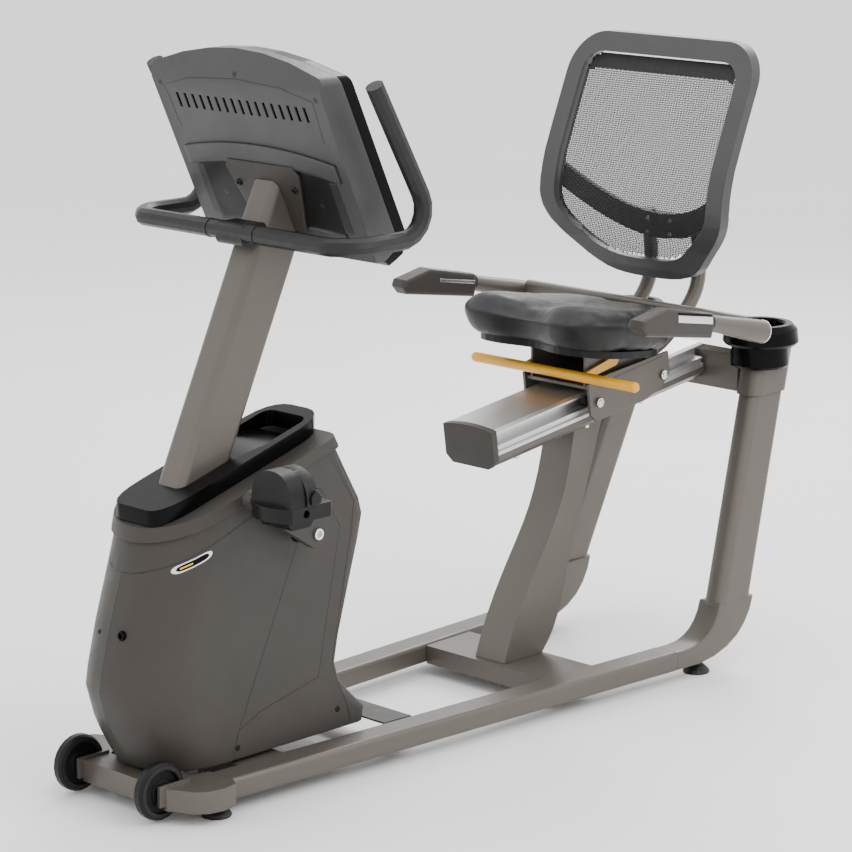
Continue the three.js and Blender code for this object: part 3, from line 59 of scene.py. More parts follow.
WHEELBASE_X = -127.114   # x of the middle of the wheelbase in the frame, in millimetres
RAY_REACH = 0.6          # metres that a ray looks ahead for a surface to put a detail on

# ---------------------------------------------------------------- places


def at(x, y, z):
    """A point from millimetres, with x counted from the middle of the wheelbase."""
    return Vector(((x + WHEELBASE_X) * MM, y * MM, z * MM))


def span(node):
    """Centre and size of a CAD node's box."""
    low, high = (Vector(v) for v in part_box(node))
    return (low + high) / 2, high - low


def surface(*nodes):
    """A tree of the outer faces of some CAD nodes, for finding where a detail sits."""
    points, faces = [], []
    for node in nodes:
        obj = frame["nodes"][node]
        start = len(points)
        points += [obj.matrix_world @ v.co for v in obj.data.vertices]
        faces += [[start + i for i in p.vertices] for p in obj.data.polygons]
    return BVHTree.FromPolygons(points, faces)


def smoothstep(low, high, value):
    t = min(1.0, max(0.0, (value - low) / (high - low)))
    return t * t * (3 - 2 * t)


# ---------------------------------------------------------------- materials


BEVEL_SAMPLES = 6
PATTERN_LOW, PATTERN_HIGH = 0.3, 0.7    # the part of a noise pattern that shows


class Shader:
    """One procedural material, built up from patterns."""

    def __init__(self, name, color, roughness, metallic=0.0, specular=0.5):
        self.material = bpy.data.materials.new(name)
        self.material.use_nodes = True
        self.tree = self.material.node_tree
        self.bsdf = self.tree.nodes["Principled BSDF"]
        self.color, self.roughness = color, roughness
        self.set("Metallic", metallic)
        self.set("Specular IOR Level", specular)
        self.coordinates = self.node("ShaderNodeTexCoord").outputs["Object"]
        self.height = None

    def rounded(self, radius):
        """Shades edges and facets as if rounded by this many metres."""
        bevel = self.node("ShaderNodeBevel")
        bevel.samples = BEVEL_SAMPLES
        bevel.inputs["Radius"].default_value = radius
        self.height = bevel.outputs["Normal"]
        return self

    def node(self, kind):
        return self.tree.nodes.new(kind)

    def link(self, output, target):
        self.tree.links.new(output, target)

    def set(self, socket, value):
        self.bsdf.inputs[socket].default_value = value

    def stretched(self, scale):
        mapping = self.node("ShaderNodeMapping")
        mapping.inputs["Scale"].default_value = scale
        self.link(self.coordinates, mapping.inputs["Vector"])
        return mapping.outputs["Vector"]

    def noise(self, scale, detail=3.0, stretch=(1, 1, 1)):
        noise = self.node("ShaderNodeTexNoise")
        noise.inputs["Scale"].default_value = scale
        noise.inputs["Detail"].default_value = detail
        self.link(self.stretched(stretch), noise.inputs["Vector"])
        return noise.outputs["Fac"]

    def cells(self, scale, stretch=(1, 1, 1)):
        cells = self.node("ShaderNodeTexVoronoi")
        cells.inputs["Scale"].default_value = scale
        self.link(self.stretched(stretch), cells.inputs["Vector"])
        return cells.outputs["Distance"]

    def mottle(self, pattern, amount):
        """Colour that varies by `amount` either way over a pattern."""
        ramp = self.node("ShaderNodeValToRGB")
        ends = ramp.color_ramp.elements
        ends[0].position, ends[1].position = PATTERN_LOW, PATTERN_HIGH
        ends[0].color = [c * (1 - amount) for c in self.color] + [1]
        ends[1].color = [c * (1 + amount) for c in self.color] + [1]
        self.link(pattern, ramp.inputs["Fac"])
        self.link(ramp.outputs["Color"], self.bsdf.inputs["Base Color"])
        return self

    def smudge(self, pattern, amount):
        """Roughness that varies by `amount` either way over a pattern."""
        spread = self.node("ShaderNodeMapRange")
        spread.inputs["From Min"].default_value = PATTERN_LOW
        spread.inputs["From Max"].default_value = PATTERN_HIGH
        spread.inputs["To Min"].default_value = max(0.02, self.roughness - amount)
        spread.inputs["To Max"].default_value = self.roughness + amount
        self.link(pattern, spread.inputs["Value"])
        self.link(spread.outputs["Result"], self.bsdf.inputs["Roughness"])
        return self

    def grain(self, pattern, depth, strength=0.5):
        """Fine relief, `depth` metres high."""
        bump = self.node("ShaderNodeBump")
        bump.inputs["Distance"].default_value = depth
        bump.inputs["Strength"].default_value = strength
        self.link(pattern, bump.inputs["Height"])
        if self.height is not None:
            self.link(self.height, bump.inputs["Normal"])
        self.height = bump.outputs["Normal"]
        self.link(self.height, self.bsdf.inputs["Normal"])
        return self


def powder_coat():
    s = Shader("bronze_powder_coat", (0.094, 0.082, 0.071), 0.40, metallic=0.35).rounded(0.0015)
    s.mottle(s.noise(900, 2), 0.10).smudge(s.noise(14, 4), 0.05)
    return s.grain(s.noise(1400, 2), 0.00012, 0.35).material


def housing_plastic():
    s = Shader("bronze_moulded_plastic", (0.036, 0.031, 0.027), 0.46, specular=0.28).rounded(0.003)
    s.mottle(s.noise(7, 4), 0.06).smudge(s.noise(30, 4), 0.05)
    return s.grain(s.cells(1700), 0.00010, 0.4).material


def gloss_black():
    s = Shader("gloss_black_plastic", (0.002, 0.002, 0.002), 0.24, specular=0.08).rounded(0.0015)
    s.mottle(s.noise(40, 3), 0.15).smudge(s.noise(22, 5), 0.05)
    return s.grain(s.noise(60, 2), 0.00004, 0.2).material


def satin_black():
    s = Shader("satin_black_plastic", (0.005, 0.005, 0.005), 0.40, specular=0.2).rounded(0.001)
    s.mottle(s.noise(60, 3), 0.15).smudge(s.noise(26, 4), 0.06)
    return s.grain(s.cells(1500), 0.00012, 0.4).material


def console_grey():
    s = Shader("dark_grey_textured_plastic", (0.037, 0.037, 0.037), 0.42, specular=0.40).rounded(0.002)
    s.mottle(s.noise(9, 4), 0.08).smudge(s.noise(34, 4), 0.05)
    return s.grain(s.cells(1300), 0.00016, 0.45).material


def brushed(name, color, roughness, stretch):
    s = Shader(name, color, roughness, metallic=1.0)
    lines = s.noise(900, 4, stretch)
    s.mottle(lines, 0.04).smudge(s.noise(400, 3, stretch), 0.04)
    return s.grain(lines, 0.00003, 0.25).material


def chrome():
    s = Shader("polished_chrome", (0.78, 0.78, 0.79), 0.10, metallic=1.0)
    s.mottle(s.noise(50, 2), 0.03)
    return s.smudge(s.noise(80, 4), 0.04).material


def handlebar_rubber():
    s = Shader("handlebar_rubber", (0.008, 0.008, 0.008), 0.42, specular=0.32)
    s.mottle(s.noise(24, 4), 0.18).smudge(s.noise(60, 4), 0.07)
    return s.grain(s.cells(900), 0.00020, 0.5).material


def foot_rubber():
    s = Shader("moulded_rubber", (0.008, 0.008, 0.008), 0.55, specular=0.35)
    s.mottle(s.noise(70, 3), 0.25).smudge(s.noise(40, 4), 0.08)
    return s.grain(s.noise(700, 4), 0.00025, 0.5).material


def amber_coat():
    s = Shader("amber_dipped_coat", (0.74, 0.36, 0.006), 0.34, specular=0.35)
    s.set("Coat Weight", 0.35)
    s.set("Coat Roughness", 0.18)
    s.mottle(s.noise(18, 4), 0.06).smudge(s.noise(50, 3), 0.05)
    return s.grain(s.noise(240, 3), 0.00015, 0.35).material


def vinyl():
    s = Shader("black_grained_vinyl", (0.007, 0.007, 0.007), 0.42, specular=0.28)
    s.mottle(s.noise(12, 5), 0.14).smudge(s.noise(70, 4), 0.06)
    s.grain(s.cells(620), 0.00030, 0.45)
    return s.grain(s.noise(240, 4), 0.00020, 0.3).material


def mesh_yarn():
    s = Shader("black_mesh_yarn", (0.008, 0.008, 0.008), 0.6, specular=0.3)
    s.set("Sheen Weight", 0.06)
    s.mottle(s.noise(600, 3), 0.3).smudge(s.noise(200, 3), 0.08)
    return s.grain(s.noise(1500, 2, (1, 1, 4)), 0.0003, 0.6).material


def hem_cloth():
    s = Shader("woven_hem_tape", (0.010, 0.010, 0.010), 0.62, specular=0.3)
    s.set("Sheen Weight", 0.05)
    s.mottle(s.noise(500, 3), 0.25).smudge(s.noise(160, 3), 0.07)
    return s.grain(s.cells(800, (1, 2, 1)), 0.0004, 0.6).material


def dark_glass():
    s = Shader("dark_display_glass", (0.008, 0.009, 0.011), 0.06)
    s.set("Coat Weight", 0.6)
    s.mottle(s.noise(5, 2), 0.2)
    return s.smudge(s.noise(26, 4), 0.03).material


def seam_black():
    s = Shader("panel_gap", (0.006, 0.006, 0.006), 0.8)
    return s.mottle(s.noise(200, 2), 0.3).material


def webbing():
    s = Shader("dark_webbing", (0.008, 0.008, 0.008), 0.55, specular=0.25)
    s.mottle(s.noise(300, 3), 0.12).smudge(s.noise(120, 3), 0.06)
    return s.grain(s.noise(700, 3, (1, 5, 1)), 0.0003, 0.6).material


LOOK = {
    "frame_paint": powder_coat(),
    "housing_plastic": housing_plastic(),
    "black_plastic": gloss_black(),
    "satin_black": satin_black(),
    "console_plastic": console_grey(),
    "aluminium": brushed("brushed_aluminium", (0.60, 0.60, 0.60), 0.40, (0.03, 1, 1)),
    "steel": brushed("machined_steel", (0.42, 0.42, 0.43), 0.30, (1, 0.1, 1)),
    "pulse_steel": brushed("satin_stainless", (0.74, 0.74, 0.75), 0.22, (0.08, 1, 1)),
    "chrome": chrome(),
    "rubber": foot_rubber(),
    "bar_rubber": handlebar_rubber(),
    "lever_coat": amber_coat(),
    "vinyl": vinyl(),
    "mesh_fabric": mesh_yarn(),
    "hem": hem_cloth(),
    "screen_glass": dark_glass(),
    "gap": seam_black(),
    "webbing": webbing(),
}

# pieces whose finish isn't the plain one of their record slot
OTHER_LOOK = {
    "handlebar": "bar_rubber",
    "console_plate": "housing_plastic",
    "seat_pan": "satin_black",
    "lumbar_cradle": "satin_black",
    "back_bracket": "satin_black",
    "pedal_left": "satin_black",
    "pedal_right": "satin_black",
    "transport_wheel_left": "satin_black",
    "transport_wheel_right": "satin_black",
}


def dress_frame():
    slots = {s["node"]: s["material_slot"] for s in frame["record"]["subparts"]}
    for node, obj in frame["nodes"].items():
        look = LOOK[OTHER_LOOK.get(node, slots[node])]
        if not obj.material_slots:
            obj.data.materials.append(look)
        for place in obj.material_slots:
            place.material = look


# ---------------------------------------------------------------- pieces

CURVED = (
    "side_cover_left", "side_cover_right", "housing_body", "rear_cover", "top_rim", "handlebar",
    "back_frame", "back_tubes", "cup_holder_left", "cup_holder_right", "console_shell", "lumbar_cradle",
    "rear_leg_left", "rear_leg_right", "grip_arm_left", "grip_arm_right", "seat_lever", "mast",
    "transport_wheel_left", "transport_wheel_right", "pedal_left", "pedal_right", "accessory_tray",
    "front_beam", "seat_post", "rear_yoke",
)
SHARP = 0.62          # radians: a steeper edge stays crisp
WELD = 1e-6           # metres: points closer than this are one
SINK = 0.3            # millimetres that a ring goes into what it sits on
PATCH_LIFT = 0.15     # millimetres between a surface and the back of a patch on it


def smooth_skin(node, body, slot):
    """A skin of the same shape as a curved solid, lit as one smooth surface between its crisp edges."""
    source = frame["nodes"][node]
    mesh = source.data.copy()
    mesh.transform(source.matrix_world)
    shell = bmesh.new()
    shell.from_mesh(mesh)
    bmesh.ops.remove_doubles(shell, verts=shell.verts, dist=WELD)
    for edge in shell.edges:
        edge.smooth = len(edge.link_faces) == 2 and edge.calc_face_angle(0) < SHARP
    shell.to_mesh(mesh)
    shell.free()
    obj = piece(f"{node}_skin", mesh, OTHER_LOOK.get(node, slot), body)
    even = obj.modifiers.new("even", "WEIGHTED_NORMAL")
    even.keep_sharp, even.weight = True, 80
    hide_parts(node)


def smooth_skins():
    slots = {s["node"]: s["material_slot"] for s in frame["record"]["subparts"]}
    bodies = frame["record"]["behaviour"]["bodies"]
    for body, nodes in bodies.items():
        for node in nodes:
            if node in CURVED:
                smooth_skin(node, body, slots[node])


def piece(name, mesh, look, body, smooth=True):
    """A new piece that rides on a body and takes its finish from a slot."""
    obj = bpy.data.objects.new(name, mesh)
    bpy.context.scene.collection.objects.link(obj)
    mesh.materials.clear()
    mesh.materials.append(LOOK[look])
    for polygon in mesh.polygons:
        polygon.use_smooth = smooth
    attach(obj, body)
    return obj


def mesh_of(name, points, faces):
    mesh = bpy.data.meshes.new(name)
    mesh.from_pydata([tuple(p) for p in points], [], faces)
    mesh.validate()
    return mesh


def weld(mesh):
    """Joins doubled points of a mesh and turns its faces outwards."""
    shell = bmesh.new()
    shell.from_mesh(mesh)
    bmesh.ops.remove_doubles(shell, verts=shell.verts, dist=WELD)
    bmesh.ops.recalc_face_normals(shell, faces=shell.faces)
    shell.to_mesh(mesh)
    shell.free()


def bevelled(obj, width):
    """Rounds an object's edges by so many millimetres."""
    edges = obj.modifiers.new("edges", "BEVEL")
    edges.width, edges.segments, edges.limit_method = width * MM, 2, "ANGLE"


def turned(name, profile, place, axis, look, body, segments):
    """A piece turned from (radius, height) pairs in millimetres, standing on `place` along `axis`."""
    turn = axis.to_track_quat("Z", "Y").to_matrix()
    points, faces = [], []
    rings = len(profile)
    for i in range(segments):
        a = math.tau * i / segments
        for radius, height in profile:
            local = Vector((radius * math.cos(a), radius * math.sin(a), height)) * MM
            points.append(place + turn @ local)
    for i in range(segments):
        j = (i + 1) % segments
        for k in range(rings - 1):
            faces.append((i * rings + k, j * rings + k, j * rings + k + 1, i * rings + k + 1))
    mesh = mesh_of(name, points, faces)
    weld(mesh)
    bevelled(piece(name, mesh, look, body), 0.15)


def socket_screw(name, place, axis, radius, head, look, body):
    """A button-head screw with a socket."""
    socket, sunk = 0.42 * radius, -0.4
    profile = [
        (0, head * 0.35), (socket, head * 0.35), (socket, head * 0.96), (radius * 0.5, head),
        (radius * 0.82, head * 0.85), (radius, head * 0.35), (radius, sunk), (0, sunk),
    ]
    turned(name, profile, place, axis, look, body, 24)


def screw_on(tree, start, direction, name, radius, head, look, body):
    """A screw where a ray from outside meets the surface."""
    found = tree.ray_cast(start, direction, RAY_REACH)[0]
    if found is not None:
        socket_screw(name, found, -direction, radius, head, look, body)


def ring(name, place, axis, inner, outer, height, look, body):
    """A flat ring with chamfered edges."""
    edge = min(0.4, height / 3)
    profile = [
        (inner, -SINK), (inner, height - edge), (inner + edge, height), (outer - edge, height),
        (outer, height - edge), (outer, -SINK), (inner, -SINK),
    ]
    turned(name, profile, place, axis, look, body, 40)


def facing(normal, direction):
    """A surface normal turned against the direction that the surface is seen along."""
    return -normal if normal.dot(direction) > 0 else normal


def strip(name, tree, points, direction, width, look, body, lift):
    """A thin band on a surface, along points seen from outside along `direction`."""
    middles, normals = [], []
    for point in points:
        found, normal, _, _ = tree.ray_cast(point - direction * 0.2, direction, 0.5)
        if found is not None:
            middles.append(found)
            normals.append(facing(normal, direction))
    last = len(middles) - 1
    if last < 2:
        return
    out = []
    for i, (middle, normal) in enumerate(zip(middles, normals)):
        side = (middles[min(last, i + 1)] - middles[max(0, i - 1)]).cross(normal)
        if side.length < 1e-9:
            side = direction.cross(UP)
        side = side.normalized() * width / 2 * MM
        out += [middle + side + normal * lift * MM, middle - side + normal * lift * MM]
    faces = [(2 * i, 2 * i + 2, 2 * i + 3, 2 * i + 1) for i in range(last)]
    piece(name, mesh_of(name, out, faces), look, body)


def along(corners, step):
    """Points about `step` millimetres apart along a line through corners."""
    points = []
    for a, b in zip(corners, corners[1:]):
        n = max(1, round((b - a).length / (step * MM)))
        points += [a.lerp(b, i / n) for i in range(n)]
    return points + [corners[-1]]


def patch(name, tree, place, direction, look, body, columns, rows, rise):
    """A plate `rise` millimetres thick that follows a surface.

    place(u, v) gives the points it is seen through along `direction`, for u and v from 0 to 1.
    """
    top, faces = [], []
    for i in range(columns + 1):
        for j in range(rows + 1):
            point = place(i / columns, j / rows)
            found, normal, _, _ = tree.ray_cast(point - direction * 0.15, direction, 0.4)
            if found is None:
                found, normal = tree.find_nearest(point)[:2]
            top.append(found + facing(normal, direction) * PATCH_LIFT * MM)
    for i in range(columns):
        for j in range(rows):
            a = i * (rows + 1) + j
            faces.append((a, a + 1, a + rows + 2, a + rows + 1))
    mesh = mesh_of(name, top, faces)
    sheet = bmesh.new()
    sheet.from_mesh(mesh)
    bmesh.ops.recalc_face_normals(sheet, faces=sheet.faces)
    sheet.faces.ensure_lookup_table()
    if sheet.faces[0].normal.dot(direction) > 0:
        bmesh.ops.reverse_faces(sheet, faces=sheet.faces)
    sheet.to_mesh(mesh)
    sheet.free()
    obj = piece(name, mesh, look, body)
    plate = obj.modifiers.new("thickness", "SOLIDIFY")
    plate.thickness, plate.offset = rise * MM, 1.0
    bevelled(obj, min(0.3, rise / 3))


def settled(obj):
    """Replaces an object's mesh by what its modifiers make of it."""
    shown = obj.evaluated_get(bpy.context.evaluated_depsgraph_get())
    mesh = bpy.data.meshes.new_from_object(shown)
    obj.modifiers.clear()
    obj.data = mesh


# ---------------------------------------------------------------- cushion

SEAT_TILT = 0.12          # drop of the seat per unit of length
CUSHION_START = 0.972     # the foam before it swells
SWELL_CAP = 0.007         # the furthest that a point may swell
CLOTH_FRAMES = 20
VALLEY = {"deep": 0.022, "wide": 0.060}                    # between the thighs, at the front
HOLLOW = {"deep": 0.013, "x": 0.035, "long": 0.09}         # where the sitter's weight rests
BROW = 0.016              # how far the front edge rolls down


def contour(point, centre, size):
    """Where a point of the plain seat block goes on the contoured seat."""
    x, y, z = point - centre
    thick = size.z - SEAT_TILT * size.x
    height = (z + SEAT_TILT * x) / thick + 0.5
    pulled = 1 - 0.05 * (1 - smoothstep(0.0, 0.6, height)) - 0.06 * smoothstep(0.7, 1.0, height)
    front = smoothstep(0.1, -0.95, x / (size.x / 2))
    valley = VALLEY["deep"] * front * math.exp(-((y / VALLEY["wide"]) ** 2))
    lengthways = math.exp(-(((x - HOLLOW["x"]) / HOLLOW["long"]) ** 2))
    hollow = HOLLOW["deep"] * lengthways * max(0.0, 1 - (y / (size.y / 2)) ** 2)
    drop = (valley + hollow) * smoothstep(0.45, 1.0, height)
    brow = BROW * smoothstep(0.72, 1.0, -x / (size.x / 2)) * smoothstep(0.4, 1.0, height)
    return centre + Vector((x * pulled, y * pulled, z - drop - brow))


def swell(obj):
    """Blows the cover up a little with a short cloth simulation, and caps how far any point moves."""
    rest = [v.co.copy() for v in obj.data.vertices]
    cloth = obj.modifiers.new("cloth", "CLOTH")
    cloth.settings.use_pressure = True
    cloth.settings.uniform_pressure_force = 4.0
    cloth.settings.quality = 4
    cloth.settings.effector_weights.gravity = 0.0
    cloth.collision_settings.use_collision = False
    scene = bpy.context.scene
    for step in range(1, CLOTH_FRAMES + 1):
        scene.frame_set(step)
    settled(obj)
    for vertex, start in zip(obj.data.vertices, rest):
        move = vertex.co - start
        if move.length > SWELL_CAP:
            vertex.co = start + move.normalized() * SWELL_CAP
    scene.frame_set(1)


def smoothed(obj, times):
    soft = obj.modifiers.new("soft", "SMOOTH")
    soft.factor, soft.iterations = 0.5, times


def cushion():
    source = frame["nodes"]["seat_cushion"]
    centre, size = span("seat_cushion")
    mesh = source.data.copy()
    mesh.transform(source.matrix_world)
    mesh.transform(Matrix.Translation(centre) @ Matrix.Scale(CUSHION_START, 4) @ Matrix.Translation(-centre))
    obj = bpy.data.objects.new("cushion_cover", mesh)
    bpy.context.scene.collection.objects.link(obj)
    even = obj.modifiers.new("even", "REMESH")
    even.mode, even.voxel_size = "VOXEL", 6 * MM
    smoothed(obj, 12)
    settled(obj)
    for vertex in obj.data.vertices:
        vertex.co = contour(vertex.co, centre, size)
    swell(obj)
    smoothed(obj, 5)
    fine = obj.modifiers.new("fine", "SUBSURF")
    fine.levels = fine.render_levels = 1
    settled(obj)
    obj.data.materials.clear()
    obj.data.materials.append(LOOK["vinyl"])
    for polygon in obj.data.polygons:
        polygon.use_smooth = True
    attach(obj, "seat")
    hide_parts("seat_cushion")


# ---------------------------------------------------------------- seat back

HOLE_Y, HOLE_Z = 6.2 * MM, 8.4 * MM     # width of a ring, and from one ring to the next above it
HEM = 34 * MM                            # solid tape along the top of the mesh
YARN = 2.00 * MM                         # from a ring's outer edge to its hole
YARN_THICK = 0.7 * MM
NET_DEPTH = 1.4 * MM                     # from the front of the CAD sheet to the net
HEM_TAPE_END = 12 * MM                   # from the side of the net to the end of its tape
HEM_TAPE_TOP = 4 * MM


def mesh_panel():
    """A net of six-sided rings that meet at their corners, with three-sided gaps between them.

    It lies on the CAD sheet, whose tree and box are given back for the tape along its top.
    """
    tree = surface("back_mesh")
    low, high = (Vector(v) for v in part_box("back_mesh"))
    across = int((high.y - low.y) / HOLE_Y) + 2
    up = int((high.z - low.z) / HOLE_Z) + 2

    def on_sheet(y, z):
        found = tree.ray_cast(Vector((low.x - 0.1, y, z)), ALONG, 0.5)[0]
        return None if found is None else found + ALONG * NET_DEPTH

    net = bmesh.new()
    known = {}

    def corner(column, level):
        key = (column, level)
        if key not in known:
            place = on_sheet(low.y + column * HOLE_Y / 2, low.z + level * HOLE_Z / 4)
            known[key] = None if place is None else net.verts.new(place)
        return known[key]

    solid = []
    for i in range(across):
        for j in range(up):
            column, level = 2 * i + 1, 4 * j + 2 * (i % 2)
            cell = [
                corner(column - 1, level - 1), corner(column - 1, level + 1), corner(column, level + 2),
                corner(column + 1, level + 1), corner(column + 1, level - 1), corner(column, level - 2),
            ]
            if any(v is None for v in cell) or len(set(cell)) < 6:
                continue
            face = net.faces.new(cell)
            if low.z + level * HOLE_Z / 4 > high.z - HEM:
                solid.append(face)
    held = set(solid)
    open_faces = [f for f in net.faces if f not in held]
    net.normal_update()
    bmesh.ops.inset_individual(net, faces=open_faces, thickness=YARN, depth=0)
    bmesh.ops.delete(net, geom=[f for f in open_faces if f.is_valid], context="FACES")
    loose = [v for v in net.verts if not v.link_faces]
    bmesh.ops.delete(net, geom=loose, context="VERTS")
    mesh = bpy.data.meshes.new("back_net")
    net.to_mesh(mesh)
    net.free()
    obj = piece("back_net", mesh, "mesh_fabric", "seat", smooth=False)
    yarn = obj.modifiers.new("yarn", "SOLIDIFY")
    yarn.thickness, yarn.offset = YARN_THICK, 0
    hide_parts("back_mesh")
    return tree, low, high


def hem_tape(tree, low, high):
    half = (high.y - low.y) / 2 - HEM_TAPE_END

    def place(u, v):
        return Vector((low.x, (2 * u - 1) * half, high.z - HEM_TAPE_TOP - v * (HEM - HEM_TAPE_TOP)))

    patch("back_hem_tape", tree, place, ALONG, "hem", "seat", 60, 6, 0.5)


BRACKET_BOLTS = ((-30, 14), (30, 14), (-30, -14), (30, -14))     # millimetres across and up
BRACKET_RAYS = 0.2                       # metres in front of the bracket's middle


def back_details():
    hem_tape(*mesh_panel())
    bracket = surface("lumbar_cradle", "back_bracket")
    centre = span("back_bracket")[0]
    for i, (dy, dz) in enumerate(BRACKET_BOLTS):
        start = Vector((centre.x - BRACKET_RAYS, centre.y + dy * MM, centre.z + dz * MM))
        screw_on(bracket, start, ALONG, f"bracket_bolt_{i + 1}", 5, 3.2, "steel", "seat")


# ---------------------------------------------------------------- drive housing

# millimetres, as at() takes them; each line is x and z
COVER_LINE = (
    (-690, 428), (-676, 428), (-650, 442), (-556, 479), (-462, 516), (-304, 541), (-288, 536),
    (-242, 458), (-299, 180), (-440, 148), (-497, 122), (-514, 80),
)
REAR_LINE = ((-262, 590), (-205, 500), (-213, 440), (-264, 195), (-226, 112), (-216, 80))
HOUSING = ("side_cover_left", "side_cover_right", "housing_body", "rear_cover", "top_rim")
BESIDE_HOUSING = 130         # y of the points that seams and badge are seen through
COVER_SCREWS, SIDE_RAYS = ((-250, 108), (-500, 92)), 200      # x and z, and y where the rays start
NOSE_SCREW, NOSE_RAYS = (30, 322), -800                       # y and z, and x where the ray starts
BADGE = {"x": -590, "z": 454, "length": 74, "height": 15, "slope": 0.36}
BADGE_BAR = {"middle": 0.72, "share": 0.3, "forward": 8, "height": 3}


def housing_seams(tree):
    for side, sign in SIDES:
        inwards = ACROSS * -sign
        for name, line in (("cover", COVER_LINE), ("rear", REAR_LINE)):
            points = [at(x, sign * BESIDE_HOUSING, z) for x, z in line]
            strip(f"{name}_seam_{side}", tree, along(points, 5), inwards, 1.8, "gap", "frame", 0.3)


def on_badge(s, t):
    """A point in front of the badge, `s` millimetres along it and `t` above its middle line."""
    return at(BADGE["x"] + s, -BESIDE_HOUSING, BADGE["z"] + s * BADGE["slope"] + t)


def badge(tree):
    """A plain dark capsule with a light edge and an amber bar, with no lettering."""
    for name, long, tall, look, rise in (
        ("badge_rim", 1.0, 1.0, "pulse_steel", 0.7),
        ("badge_face", 0.8, 0.7, "black_plastic", 1.1),
    ):
        def capsule(u, v, long=long, tall=tall):
            squeeze = math.sqrt(max(0.05, 1 - abs(2 * u - 1) ** 6))
            return on_badge((u - 0.5) * BADGE["length"] * long, (v - 0.5) * BADGE["height"] * tall * squeeze)

        patch(name, tree, capsule, ACROSS, look, "frame", 24, 4, rise)

    def bar(u, v):
        s = (u - BADGE_BAR["middle"]) * BADGE["length"] * BADGE_BAR["share"] - BADGE_BAR["forward"]
        return on_badge(s, (v - 0.5) * BADGE_BAR["height"])

    patch("badge_bar", tree, bar, ACROSS, "lever_coat", "frame", 8, 2, 1.5)


def housing_details():
    tree = surface(*HOUSING)
    housing_seams(tree)
    badge(tree)
    for side, sign in SIDES:
        for i, (x, z) in enumerate(COVER_SCREWS):
            screw_on(tree, at(x, sign * SIDE_RAYS, z), ACROSS * -sign, f"cover_screw_{side}_{i + 1}",
                     6, 1.6, "satin_black", "frame")
    nose = surface("side_cover_left", "side_cover_right", "housing_body", "power_inlet")
    screw_on(nose, at(NOSE_RAYS, *NOSE_SCREW), ALONG, "nose_screw_1", 5, 1.4, "satin_black", "frame")


# ---------------------------------------------------------------- console

# millimetres, as at() takes them; screws, bolts and the outline are y and z
CONSOLE_SCREWS = ((-205, 1262), (205, 1262), (0, 1292), (-128, 1060), (128, 1060))
SCREW_RAYS = -600                        # x where the rays for screws start
BEFORE_PANELS, BEFORE_LINE = -400, -500  # x of the points that panels and outline are seen through
BAND = {"half": 200, "top": 1163, "height": 34, "arc": 20}      # raised across the rear shell
SLOT = {"y": 176, "top": 1108, "length": 96, "width": 20}
LOWER_PANEL = {"half": 182, "taper": 14, "top": 1128, "arc": 10, "height": 116}
PANEL_LINE = ((-190, 1180), (-196, 1258), (-120, 1277), (0, 1284), (120, 1277), (196, 1258), (190, 1180))
PLATE_BOLT = (74, 1084)


def screw_along_normal(tree, y, z, name, radius, head, look):
    """A console screw that stands square to the surface."""
    found, normal, _, _ = tree.ray_cast(at(SCREW_RAYS, y, z), ALONG, RAY_REACH)
    if found is not None:
        socket_screw(name, found, facing(normal, ALONG), radius, head, look, "frame")


def console_panels(rear):
    """The raised band, the lower panel, and on each side a flat dark patch painted as the shade inside a
    slot.
    """
    def band(u, v):
        across = 2 * u - 1
        z = BAND["top"] - BAND["arc"] * across ** 2 - v * BAND["height"]
        return at(BEFORE_PANELS, across * BAND["half"], z)

    def lower_panel(u, v):
        p, across = LOWER_PANEL, 2 * u - 1
        z = p["top"] - p["arc"] * across ** 2 - v * p["height"]
        return at(BEFORE_PANELS, across * (p["half"] - p["taper"] * v), z)

    patch("console_band", rear, band, ALONG, "console_plastic", "frame", 48, 6, 4.0)
    for side, sign in SIDES:
        def slot_shade_area(u, v, sign=sign):
            y = sign * SLOT["y"] + SLOT["width"] * (u - 0.5)
            return at(BEFORE_PANELS, y, SLOT["top"] - v * SLOT["length"])

        # painted shade: each slot is a flat dark patch standing in for the shade inside an opening
        patch(f"console_slot_shade_{side}", rear, slot_shade_area, ALONG, "gap", "frame", 6, 16, 0.5)
    patch("console_lower_panel", rear, lower_panel, ALONG, "satin_black", "frame",
          40, 14, 0.4)


def console_details():
    shell = surface("console_shell", "console_plate")
    for i, (y, z) in enumerate(CONSOLE_SCREWS):
        screw_along_normal(shell, y, z, f"console_screw_{i + 1}", 5.5, 0.8, "gap")
    rear = surface("console_shell")
    console_panels(rear)
    outline = along([at(BEFORE_LINE, y, z) for y, z in PANEL_LINE], 6)
    strip("console_panel_line", rear, outline, ALONG, 1.6, "gap", "frame", 0.3)
    plate = surface("console_plate")
    for side, sign in SIDES:
        y, z = PLATE_BOLT
        screw_along_normal(plate, sign * y, z, f"plate_bolt_{side}", 7, 4, "satin_black")


BAR = {"radius": 17, "z": 1011, "joint": 62}     # millimetres; joint is where a rubber sleeve ends
JOINT_WIDTH = 1.6


def handlebar_details():
    bar_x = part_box("handlebar")[0][0] + BAR["radius"] * MM
    for i, sign in enumerate((-1, 1)):
        start = Vector((bar_x, (sign * BAR["joint"] - JOINT_WIDTH / 2) * MM, BAR["z"] * MM))
        ring(f"sleeve_joint_{i + 1}", start, ACROSS, BAR["radius"] - 0.4, BAR["radius"] + 0.7, JOINT_WIDTH,
             "gap", "frame")


# ---------------------------------------------------------------- rail, carriage and seat arms

RAIL_SLOPE = 0.14
CARRIAGE_LINE = ((-60, 18), (100, 20))       # millimetres along and up from the carriage's middle
BEAM_BOLTS = (0.12, 0.45, 0.72)              # shares of the beam's length
BEAM_BOLT_Y = 0.042
OUTSIDE = 0.3                                # metres from a middle to where rays start


